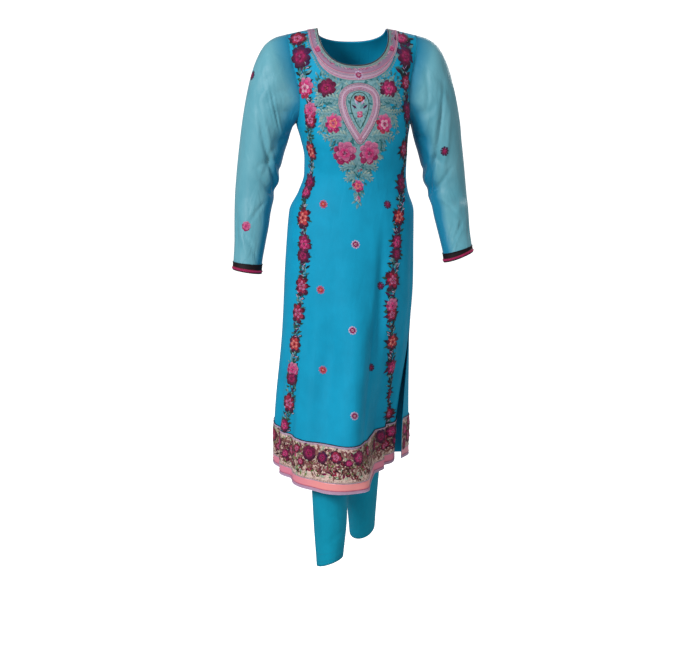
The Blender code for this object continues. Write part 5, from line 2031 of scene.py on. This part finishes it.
    def build_stitching(self) -> None:
        """Sew the slit edges and the side seams."""
        form = self.form
        slit = np.arange(form.slit_top_z - 0.004, -0.965, -self.STITCH_STEP)
        seam = np.arange(form.slit_top_z + 0.004, form.underarm_z, self.STITCH_STEP)
        for side in Side:
            work = Needlework(PanelSurface(form, side), self.book)
            for sign in (-1, 1):
                for inset in (0.026, 0.052):
                    work.stitches(pairs(sign * (1 - inset), slit), 0.0024, 0.0024)
                work.stitches(pairs(sign * 0.982, seam), 0.0022, 0.0024)
            declare(work.made(f"tunic_stitching_{side.word}"))


# ------------------------------------------------------------------ sleeves
@dataclass(frozen=True)
class Forearm:
    """How a forearm is carried: forwards, towards the body, its length left,
    and how much higher that brings the cuff's outside."""

    swing: float
    lean: float
    length: float
    cuff_tilt: float


class SleeveSurface(Surface):
    """One sleeve, by how far down it is and how far round."""

    sections = SizeTable("k inner_x inner_z outer_x outer_z centre_y half_depth", [
        (0, 0.1380, -0.2208, 0.1508, -0.0128, 0.000, 0.050),
        (1, 0.1440, -0.2270, 0.1790, -0.0200, 0.000, 0.054),
        (2, 0.1475, -0.2390, 0.2050, -0.0370, 0.000, 0.058),
        (3, 0.1515, -0.2550, 0.2250, -0.0680, 0.001, 0.060),
        (4, 0.1570, -0.2740, 0.2400, -0.1080, 0.002, 0.061),
        (5, 0.1640, -0.2950, 0.2520, -0.1560, 0.003, 0.060),
        (6, 0.1710, -0.3220, 0.2630, -0.2160, 0.004, 0.057),
        (7, 0.1750, -0.3500, 0.2720, -0.2800, 0.004, 0.054),
        (8, 0.1830, -0.3800, 0.2790, -0.3400, 0.003, 0.050),
        (9, 0.1930, -0.4150, 0.2840, -0.3980, 0.000, 0.046),
        (10, 0.2010, -0.4600, 0.2860, -0.4550, -0.004, 0.043),
        (11, 0.2110, -0.5080, 0.2870, -0.5080, -0.009, 0.039),
        (12, 0.2210, -0.5600, 0.2900, -0.5530, -0.014, 0.034),
        (13, 0.2245, -0.5880, 0.2910, -0.5760, -0.017, 0.033),
    ])
    elbow_z, tilt_from = -0.360, 0.70
    # The number of the last section, about how far it is round and down a sleeve,
    # and how many of the first sections turn into the armhole.
    last_section, girth, length, cap_sections = 13.0, 0.32, 0.60, 3.0
    # Deep gathers at the elbow: where, down and round, their widths and depth.
    forearms = {
        Hand.RIGHT: Forearm(math.radians(9.0), 0.0, 0.95, 0.0),
        Hand.LEFT: Forearm(math.radians(34.0), math.radians(5.0), 0.92, 0.016),
    }
    crush = (
        (0.62, 0.05, 0.030, 0.16, 0.0060), (0.50, 0.02, 0.030, 0.14, 0.0050),
        (0.74, 0.16, 0.035, 0.15, 0.0035), (0.34, 0.12, 0.050, 0.10, 0.0035),
    )
    creases = crease_rows(
        (0.10, 0.10, 0.30, 0.24, 0.007, 0.0034), (0.05, 0.20, 0.36, 0.30, 0.006, 0.0026),
        (0.18, 0.04, 0.48, 0.18, 0.006, 0.0034), (0.30, 0.14, 0.62, 0.22, 0.005, 0.0036),
        (0.42, 0.08, 0.58, 0.30, 0.005, 0.0024), (0.55, 0.32, 0.66, 0.06, 0.005, 0.0026),
        (0.66, 0.12, 0.80, 0.32, 0.005, 0.0022), (0.78, 0.36, 0.92, 0.14, 0.005, 0.0022),
        (0.14, 0.30, 0.40, 0.38, 0.006, 0.0024), (0.70, 0.44, 0.90, 0.38, 0.006, 0.0020),
        (0.12, 0.90, 0.34, 0.74, 0.007, 0.0030), (0.40, 0.88, 0.60, 0.66, 0.006, 0.0028),
        (0.62, 0.92, 0.78, 0.70, 0.006, 0.0024), (0.50, 0.60, 0.70, 0.80, 0.006, 0.0022),
        (0.82, 0.70, 0.95, 0.88, 0.005, 0.0018), (0.30, 0.42, 0.52, 0.46, 0.007, -0.0020),
    )

    long_creases = {
        Hand.RIGHT: crease_rows(
            (0.33, 0.365, 0.66, 0.020, 0.0050, 0.0052),
            (0.33, 0.305, 0.60, 0.010, 0.0060, -0.0026),
            (0.20, 0.400, 0.345, 0.200, 0.0036, -0.0024),
            (0.21, 0.340, 0.335, 0.160, 0.0034, -0.0026),
            (0.20, 0.280, 0.310, 0.120, 0.0034, -0.0022),
            (0.22, 0.375, 0.340, 0.185, 0.0030, 0.0018),
            (0.215, 0.310, 0.325, 0.140, 0.0030, 0.0020),
            (0.78, 0.400, 0.92, 0.240, 0.0060, -0.0016),
        ),
        Hand.LEFT: crease_rows(
            (0.22, 0.365, 0.70, 0.005, 0.0050, 0.0054),
            (0.26, 0.270, 0.62, 0.010, 0.0070, -0.0028),
            (0.34, 0.360, 0.60, 0.190, 0.0060, -0.0022),
            (0.68, 0.330, 0.86, 0.220, 0.0080, -0.0030),
            (0.76, 0.300, 0.90, 0.120, 0.0040, 0.0028),
            (0.82, 0.330, 0.93, 0.160, 0.0036, -0.0022),
            (0.07, 0.330, 0.24, 0.180, 0.0050, 0.0026),
        ),
    }

    def __init__(self, form: TunicForm, hand: Hand) -> None:
        """Take the tunic's form and the side."""
        self.form, self.hand = form, hand
        self.outward = -1.0 if hand is Hand.RIGHT else 1.0

    def armhole_edge(self, around: Array) -> Array:
        """The armhole's edge, up the front and down the back."""
        form, sign = self.form, float(self.hand.value)
        up = 1.0 - np.abs(1.0 - 2.0 * around)
        z = form.underarm_z + (form.shoulder_tip_z - form.underarm_z) * up
        ones = np.full(np.shape(z), sign)
        front, back = (
            form.panel_point(side, z, ones, 2 * ones) for side in (Side.FRONT, Side.BACK)
        )
        return np.where((around <= 0.5)[..., None], front, back)

    def round_section(self, s: SimpleNamespace, around: Array) -> Array:
        """Points of level-free sleeve sections."""
        turn = 2 * math.pi * around
        share = (1 - np.cos(turn)) / 2
        return np.stack([
            s.inner_x + (s.outer_x - s.inner_x) * share,
            s.centre_y - s.half_depth * np.sin(turn),
            s.inner_z + (s.outer_z - s.inner_z) * share,
        ], -1)

    def at(self, u: Array, v: Array) -> Array:
        """The sleeve's points: u is down from 0 to 1, v round from 0 to 1."""
        down, around = np.broadcast_arrays(np.clip(u, 0.0, 1.0), np.mod(v, 1.0))
        place = down * self.last_section
        s = self.sections.read(place)
        point = self.round_section(s, around)
        ends = (self.round_section(s, np.full_like(around, turn)) for turn in (0.0, 0.5))
        inward = unit(sum(ends) / 2 - point)
        depth = np.zeros_like(down)
        for c_down, c_round, down_width, round_width, deep in self.crush:
            off_down = (down - c_down) / down_width
            off_round = (np.mod(around - c_round + 0.5, 1.0) - 0.5) / round_width
            depth = depth + deep * np.exp(-off_down ** 2 - off_round ** 2)
        rows = scaled(self.creases + self.long_creases[self.hand], self.girth, 1.3)
        fine = creased(rows, down, around * self.girth, self.length)
        point = point + inward * (depth + fine * smooth((1 - down) / 0.06))[..., None]
        first = self.round_section(self.sections.read(np.zeros_like(down)), around)
        edge = self.armhole_edge(around) * np.array([self.hand.value, 1.0, 1.0])
        point = point + (edge - first) * (1.0 - smooth(place / self.cap_sections))[..., None]
        arm = self.forearms[self.hand]
        below = np.maximum(0.0, self.elbow_z - point[..., 2])
        bend = smooth(below / 0.08)
        reach = below * (1.0 + (arm.length - 1.0) * bend)
        tilt = arm.cuff_tilt * smooth((down - self.tilt_from) / (1.0 - self.tilt_from))
        lower = np.stack([
            point[..., 0] - reach * np.sin(arm.lean * bend),
            point[..., 1] - reach * np.sin(arm.swing * bend),
            self.elbow_z - reach * np.cos(arm.swing * bend)
            - tilt / 2 * np.cos(2 * math.pi * around),
        ], -1)
        point = np.where((below > 0.0)[..., None], lower, point)
        shift = 2 * self.form.seam_gap * (1.0 - smooth(down / 0.05))
        return np.stack(
            [(point[..., 0] + shift) * self.hand.value, point[..., 1], point[..., 2]], -1
        )


@dataclass
class Sleeve:
    """A straight sheer sleeve with its cuff braid and needlework."""

    # The sleeve's small flowers, by how far down and how far round they are.
    SPRIGS: ClassVar[dict[Hand, tuple[tuple[float, float], ...]]] = {
        Hand.RIGHT: ((0.302, 0.45), (0.784, 0.305), (0.40, 0.72), (0.80, 0.80), (0.16, 0.78)),
        Hand.LEFT: ((0.487, 0.245), (0.34, 0.60), (0.74, 0.72), (0.12, 0.78)),
    }

    hand: Hand
    book: MotifBook
    form: TunicForm
    cuff_start: float = 1.0 - 0.86 / SleeveSurface.last_section
    around: int = 72
    rows: int = 110
    cloth: float = 0.0010
    # How far down the sleeve the cuff's crimson line runs.
    line_at: float = 0.974

    def sheet(self, start: float, end: float, rows: int) -> ClothSheet:
        """A stretch of the sleeve, from one place down it to another."""
        surface = SleeveSurface(self.form, self.hand)
        down = np.linspace(end, start, rows + 1)
        around = np.arange(self.around) / self.around
        points = surface.at(down[:, None], around[None])
        sheet = ClothSheet()
        index = sheet.add_points(points)
        closed = np.hstack([index, index[:, :1]])
        ring = np.arange(self.around + 1) / self.around * SLEEVE_CUT_WIDTH
        flat = pairs(ring[None], -down[:, None] * SLEEVE_CUT_LENGTH)
        sheet.add_cells(closed, flat, self.hand is Hand.RIGHT)
        return sheet

    def build(self) -> None:
        """Make the sleeve, its cuff and what is worked on them."""
        word, low = self.hand.word, self.form.seam_gap
        sheet = self.sheet(0.0, 1.0, self.rows)
        piece = declare(sheet.shell(f"sheer_sleeve_{word}", -self.cloth, 0.0, SHEER_GEORGETTE),
                        (f"sleeve_{word}",))
        cuff = self.sheet(self.cuff_start, 1.0, 8)
        band = cuff.shell(f"cuff_braid_{word}", low, low + self.form.trim, MAROON_BRAID)
        declare(band, (f"cuff_{word}",))
        self.build_needlework()

    def build_needlework(self) -> None:
        """Work the cuff's lines, the sleeve's small flowers and the armhole seam."""
        surface, word = SleeveSurface(self.form, self.hand), self.hand.word
        work = Needlework(surface, self.book, self.form.seam_gap + self.form.trim)
        ring = np.arange(150) / 150
        for down, silk, radius in ((0.9985, Silk.INK, 0.0010), (0.9345, Silk.INK, 0.0009)):
            work.cord(silk, pairs(down, ring), radius, 0.0, closed=True)
        work.ribbon(
            Silk.CRIMSON, pairs(self.line_at, ring), 0.0034, 0.0001, 0.0006, closed=True, columns=6
        )
        for down in (self.line_at - 0.0050, self.line_at + 0.0050):
            work.cord(Silk.MAGENTA, pairs(down, ring), 0.0006, 0.0006, closed=True)
        dots = pairs(self.line_at, np.arange(56) / 56)
        sizes = np.full((len(dots), 2), 0.0030)
        work.stamp(self.book.knot, Silk.HOT_PINK, dots, sizes, np.zeros(len(dots)), None, 0.0005)
        declare(work.made(f"cuff_needlework_{word}"))
        flowers = Needlework(surface, self.book)
        for k, (down, around) in enumerate(self.SPRIGS[self.hand]):
            kind = (Flowers.DARK_SPRIG, Flowers.MAUVE_PEONY)[k % 2]
            flowers.flower(kind, down, around, 0.023, k * 0.5)
        seam = Needlework(surface, self.book)
        seam.cord(Silk.TURQUOISE, pairs(0.0, np.arange(100) / 100), 0.0009, -0.0003, closed=True)
        seam.stitches(pairs(0.014, np.arange(130) / 130), 0.0024, 0.0024, math.pi / 2)
        declare(flowers.made(f"sleeve_sprigs_{word}"))
        declare(seam.made(f"armhole_stitching_{word}"))


# ------------------------------------------------------------------ trousers
class LegSurface(Surface):
    """Half of the trousers, by height and by how far round from front to back."""

    hips = SizeTable("z half_width front_depth back_depth", [
        (-0.345, 0.1120, 0.0850, 0.0740), (-0.372, 0.1150, 0.0850, 0.0780),
        (-0.430, 0.1330, 0.0900, 0.0960), (-0.500, 0.1420, 0.0960, 0.1158),
        (-0.560, 0.1430, 0.0980, 0.1120), (-0.630, 0.1430, 0.0950, 0.1020),
        (-0.700, 0.1400, 0.0900, 0.0900),
    ])
    legs = {
        Hand.RIGHT: SizeTable("z centre_x centre_y half_width half_depth", [
            (-0.560, -0.0715, 0.002, 0.0705, 0.098), (-0.630, -0.0715, -0.004, 0.0705, 0.092),
            (-0.700, -0.0720, -0.018, 0.0660, 0.080), (-0.800, -0.0720, -0.044, 0.0590, 0.066),
            (-0.920, -0.0690, -0.076, 0.0510, 0.055), (-1.050, -0.0660, -0.098, 0.0460, 0.050),
            (-1.180, -0.0650, -0.112, 0.0415, 0.045), (-1.330, -0.0680, -0.128, 0.0310, 0.037),
        ]),
        Hand.LEFT: SizeTable("z centre_x centre_y half_width half_depth", [
            (-0.560, 0.0715, 0.002, 0.0705, 0.098), (-0.630, 0.0715, 0.006, 0.0705, 0.092),
            (-0.700, 0.0690, 0.012, 0.0660, 0.080), (-0.800, 0.0600, 0.018, 0.0585, 0.066),
            (-0.920, 0.0480, 0.026, 0.0505, 0.056), (-1.050, 0.0380, 0.042, 0.0440, 0.050),
            (-1.180, 0.0340, 0.062, 0.0400, 0.046), (-1.330, 0.0380, 0.090, 0.0325, 0.039),
        ]),
    }
    crotch_z, crotch_curve, hem_z, waist_z = -0.630, 0.110, -1.282, -0.372
    # About how far it is round a leg, and the share of it without creases at the seam.
    girth, seam_share = 0.28, 0.08
    # How much higher the hem is at the outside and at the back.
    hem_rise = {Hand.RIGHT: (-0.012, -0.006), Hand.LEFT: (0.012, 0.014)}
    creases = crease_rows(
        (-1.268, 0.10, -1.225, 0.30, 0.006, 0.0018), (-1.235, 0.36, -1.200, 0.10, 0.006, 0.0016),
        (-1.190, 0.06, -1.150, 0.30, 0.007, 0.0018), (-1.210, 0.56, -1.180, 0.86, 0.006, 0.0016),
        (-1.255, 0.90, -1.230, 0.60, 0.006, 0.0016), (-0.900, 0.70, -0.930, 0.98, 0.008, 0.0022),
        (-0.940, 0.62, -0.955, 0.90, 0.007, 0.0018), (-0.700, 0.04, -0.780, 0.24, 0.009, 0.0022),
        (-0.690, 0.96, -0.780, 0.74, 0.009, 0.0024), (-1.120, 0.26, -0.860, 0.25, 0.007, -0.0014),
        (-1.180, 0.76, -0.980, 0.75, 0.008, -0.0014), (-0.545, 0.03, -0.600, 0.20, 0.009, 0.0018),
    )

    def __init__(self, hand: Hand) -> None:
        """Take the side."""
        self.hand = hand
        self.outward = 1.0 if hand is Hand.RIGHT else -1.0

    def at(self, u: Array, v: Array) -> Array:
        """The trouser's points: u is the height, v runs from front to back."""
        z, share = np.broadcast_arrays(np.asarray(u, float), np.clip(v, 0.0, 1.0))
        leg, hip, sign = self.legs[self.hand].read(z), self.hips.read(z), self.hand.value
        rise = np.clip((z - self.crotch_z) / self.crotch_curve, 0.0, 1.0)
        opened = np.sqrt(1.0 - (1.0 - rise) ** 2)[..., None]
        outer, back = self.hem_rise[self.hand]
        tip = smooth((-1.10 - z) / 0.20)
        turn = 2 * math.pi * share
        cos, sin = np.cos(turn), np.sin(turn)
        seamless = smooth(share / self.seam_share) * smooth((1 - share) / self.seam_share)
        fine = creased(scaled(self.creases, self.girth), z, share * self.girth, 1.0) * seamless
        ring = np.stack([
            leg.centre_x - sign * (leg.half_width - fine) * cos,
            leg.centre_y - (leg.half_depth - fine) * sin,
            z - tip * (outer * cos + back * sin),
        ], -1)
        angle = math.pi * (share - 0.5)
        depth = np.where(share > 0.5, hip.back_depth, hip.front_depth)
        half = np.stack([sign * hip.half_width * np.cos(angle), depth * np.sin(angle), z], -1)
        return ring * (1 - opened) + half * opened


@dataclass
class Trousers:
    """The salwar: two legs with their halves of the hips, and the waistband."""

    book: MotifBook
    cloth: float = 0.0012
    seam_gap: float = 0.0003
    waistband_height: float = 0.030
    # The casing's length laid flat, its pleats and their depth, and the girth
    # that a leg's pattern is laid out in.
    casing_length: float = 0.90
    pleats: int = 60
    pleat_depth: float = 0.0011
    leg_girth: float = 0.34

    def leg_sheet(self, hand: Hand) -> ClothSheet:
        """One leg with its half of the hips."""
        surface, columns = LegSurface(hand), 64
        fork, top = surface.crotch_z, surface.waist_z - self.seam_gap / 2
        low = np.linspace(surface.hem_z, fork, 92)[:-1]
        curve = fork + surface.crotch_curve * np.linspace(0, 1, 20) ** 1.7
        high = np.linspace(fork + surface.crotch_curve, top, 26)[1:]
        z = np.concatenate([low, curve, high])
        share = np.linspace(0.0, 1.0, columns + 1)
        points = surface.at(z[:, None], share[None])
        sheet = ClothSheet()
        index = sheet.add_points(points)
        sheet.add_cells(index, pairs(share[None] * self.leg_girth, z[:, None]), hand is Hand.RIGHT)
        for column, way in ((0, -1), (columns, 1)):
            above, under = index[z > surface.crotch_z, column], index[z <= surface.crotch_z, column]
            sheet.pin(above, 0, hand.value * self.seam_gap / 2)
            sheet.points[under, 1] += way * self.seam_gap / 2
            sheet.pins.append((under, 1))
        return sheet

    def waist_sheet(self) -> ClothSheet:
        """The elastic casing, gathered into fine pleats."""
        count, rows = 240, 10
        low = LegSurface.waist_z
        z = np.linspace(low + self.seam_gap / 2, low + self.waistband_height, rows + 1)
        hip = LegSurface.hips.read(z)
        turn, across = round_turns(count), np.linspace(0, 1, rows + 1)
        swell = (np.sin(across * math.pi) ** 0.7)[:, None]
        pleat = self.pleat_depth * np.sin(turn * self.pleats)[None] * swell
        depth = np.where(np.sin(turn)[None] > 0, hip.back_depth[:, None], hip.front_depth[:, None])
        points = np.stack([
            (hip.half_width[:, None] + pleat) * np.cos(turn), (depth + pleat) * np.sin(turn),
            np.broadcast_to(z[:, None], pleat.shape),
        ], -1)
        sheet = ClothSheet()
        index = sheet.add_points(points)
        closed = np.hstack([index, index[:, :1]])
        run = np.arange(count + 1) / count * self.casing_length
        sheet.add_cells(closed, pairs(run[None], z[:, None]))
        return sheet

    def build(self) -> None:
        """Make both legs, their stitching and the waistband."""
        for hand in Hand:
            sheet, surface = self.leg_sheet(hand), LegSurface(hand)
            leg = declare(sheet.shell(f"trouser_leg_{hand.word}", -self.cloth, 0.0, TROUSER_CREPE),
                          (f"salwar_leg_{hand.word}",))
            work = Needlework(surface, self.book)
            for height in (0.010, 0.0125, 0.030):
                spots = pairs(surface.hem_z + height, np.linspace(0.01, 0.99, 84))
                work.stitches(spots, 0.0022, 0.0022, math.pi / 2)
            declare(work.made(f"trouser_stitching_{hand.word}"))
        sheet = self.waist_sheet()
        band = declare(sheet.shell("elastic_waistband", -2 * self.cloth, 0.0, TROUSER_CREPE),
                       ("salwar_waistband",))


# ------------------------------------------------------------------ the studio
@dataclass(frozen=True)
class Studio:
    """The camera, the plain pale floor and the soft light."""

    floor_z: float = -1.44
    camera_at: tuple[float, float, float] = (-0.2864, -2.6848, -0.200)
    camera_pitch: float = -10.80
    camera_turn: float = -6.0
    lens: float = 56.67
    middle_z: float = -0.60
    floor_radius: float = 5.0
    cove_radius: float = 0.8
    cove_steps: int = 8
    wall_height: float = 2.6

    def build(self) -> None:
        """Set up the floor, the camera and the lights."""
        self.cove()
        camera = bpy.data.objects.new("studio_camera", bpy.data.cameras.new("studio_camera"))
        camera.location = self.camera_at
        pitch, turn = math.radians(90 + self.camera_pitch), math.radians(self.camera_turn)
        camera.rotation_euler = (pitch, 0.0, turn)
        camera.data.lens = self.lens
        camera.data.sensor_width = 36.0
        bpy.context.scene.collection.objects.link(camera)
        bpy.context.scene.camera = camera
        world = bpy.data.worlds.new("soft_white_room")
        world.use_nodes = True
        background = world.node_tree.nodes["Background"]
        background.inputs["Color"].default_value = (1.0, 1.0, 1.0, 1.0)
        background.inputs["Strength"].default_value = 0.36
        bpy.context.scene.world = world
        self.light("key_softbox", (-2.3, -2.3, 1.1), 1.1, 96.0)
        self.light("fill_softbox", (1.2, -3.0, -0.2), 1.6, 14.0)
        self.light("back_softbox", (1.7, 2.6, 0.9), 1.4, 34.0)
        bpy.context.scene.view_settings.view_transform = "Standard"

    def cove(self) -> None:
        """Make the floor with its round cove, which fades into one even white."""
        bpy.ops.object.select_all(action="DESELECT")
        bpy.ops.mesh.primitive_circle_add(
            vertices=96, radius=self.floor_radius, fill_type="NGON",
            location=(0.0, 0.0, self.floor_z),
            rotation=(0, 0, 0),
        )
        floor = bpy.context.object
        floor.name = "white_studio_cove"
        bpy.ops.object.mode_set(mode="EDIT")
        edit_select(lambda co: co.xy.length > 0.98 * self.floor_radius)
        bpy.ops.mesh.select_mode(type="EDGE")
        turns = [math.radians(90 * step / self.cove_steps) for step in range(self.cove_steps + 1)]
        for before, turn in zip(turns, turns[1:]):
            rise = self.cove_radius * (math.cos(before) - math.cos(turn))
            reach, had = (
                self.floor_radius + self.cove_radius * math.sin(a) for a in (turn, before)
            )
            bpy.ops.mesh.extrude_edges_move(TRANSFORM_OT_translate={"value": (0.0, 0.0, rise)})
            bpy.ops.transform.resize(value=(reach / had, reach / had, 1.0))
        bpy.ops.mesh.extrude_edges_move(
            TRANSFORM_OT_translate={"value": (0.0, 0.0, self.wall_height)}
        )
        bpy.ops.object.mode_set(mode="OBJECT")
        bpy.ops.object.transform_apply(location=True, rotation=True, scale=True)
        bpy.ops.object.shade_smooth()
        material, tree, shader = new_material("matt_white_painted_cove_lit_from_its_own_lamps")
        spots = add_node(tree, "ShaderNodeTexCoord").outputs["Object"]
        faint = add_node(tree, "ShaderNodeTexNoise", {"Vector": spots, "Scale": 0.8}).outputs["Fac"]
        tone = mixed(tree, faint, srgb("#F7F7F6"), srgb("#F4F4F3"))
        tree.links.new(tone, shader.inputs["Base Color"])
        shader.inputs["Roughness"].default_value = 0.95
        shader.inputs["Specular IOR Level"].default_value = 0.1
        shader.inputs["Emission Color"].default_value = (1.0, 1.0, 1.0, 1.0)
        shader.inputs["Emission Strength"].default_value = 0.80
        floor.data.materials.append(material)
        floor.visible_diffuse = floor.visible_glossy = floor.visible_shadow = False

    def light(self, name: str, place: tuple[float, float, float], size: float,
              power: float) -> None:
        """Hang one square softbox, turned to the middle of the suit."""
        data = bpy.data.lights.new(name, "AREA")
        data.size, data.energy = size, power
        lamp = bpy.data.objects.new(name, data)
        lamp.location = place
        x, y, z = np.array([0.0, 0.0, self.middle_z]) - np.array(place)
        pitch = math.pi / 2 + math.atan2(z, math.hypot(x, y))
        lamp.rotation_euler = (pitch, 0.0, math.atan2(-x, y))
        bpy.context.scene.collection.objects.link(lamp)


def main() -> None:
    """Build the whole suit and its studio."""
    book = MotifBook()
    tunic = Tunic(book)
    tunic.build()
    for hand in Hand:
        Sleeve(hand, book, tunic.form).build()
    Trousers(book).build()
    Studio().build()


if __name__ == "__main__":
    main()
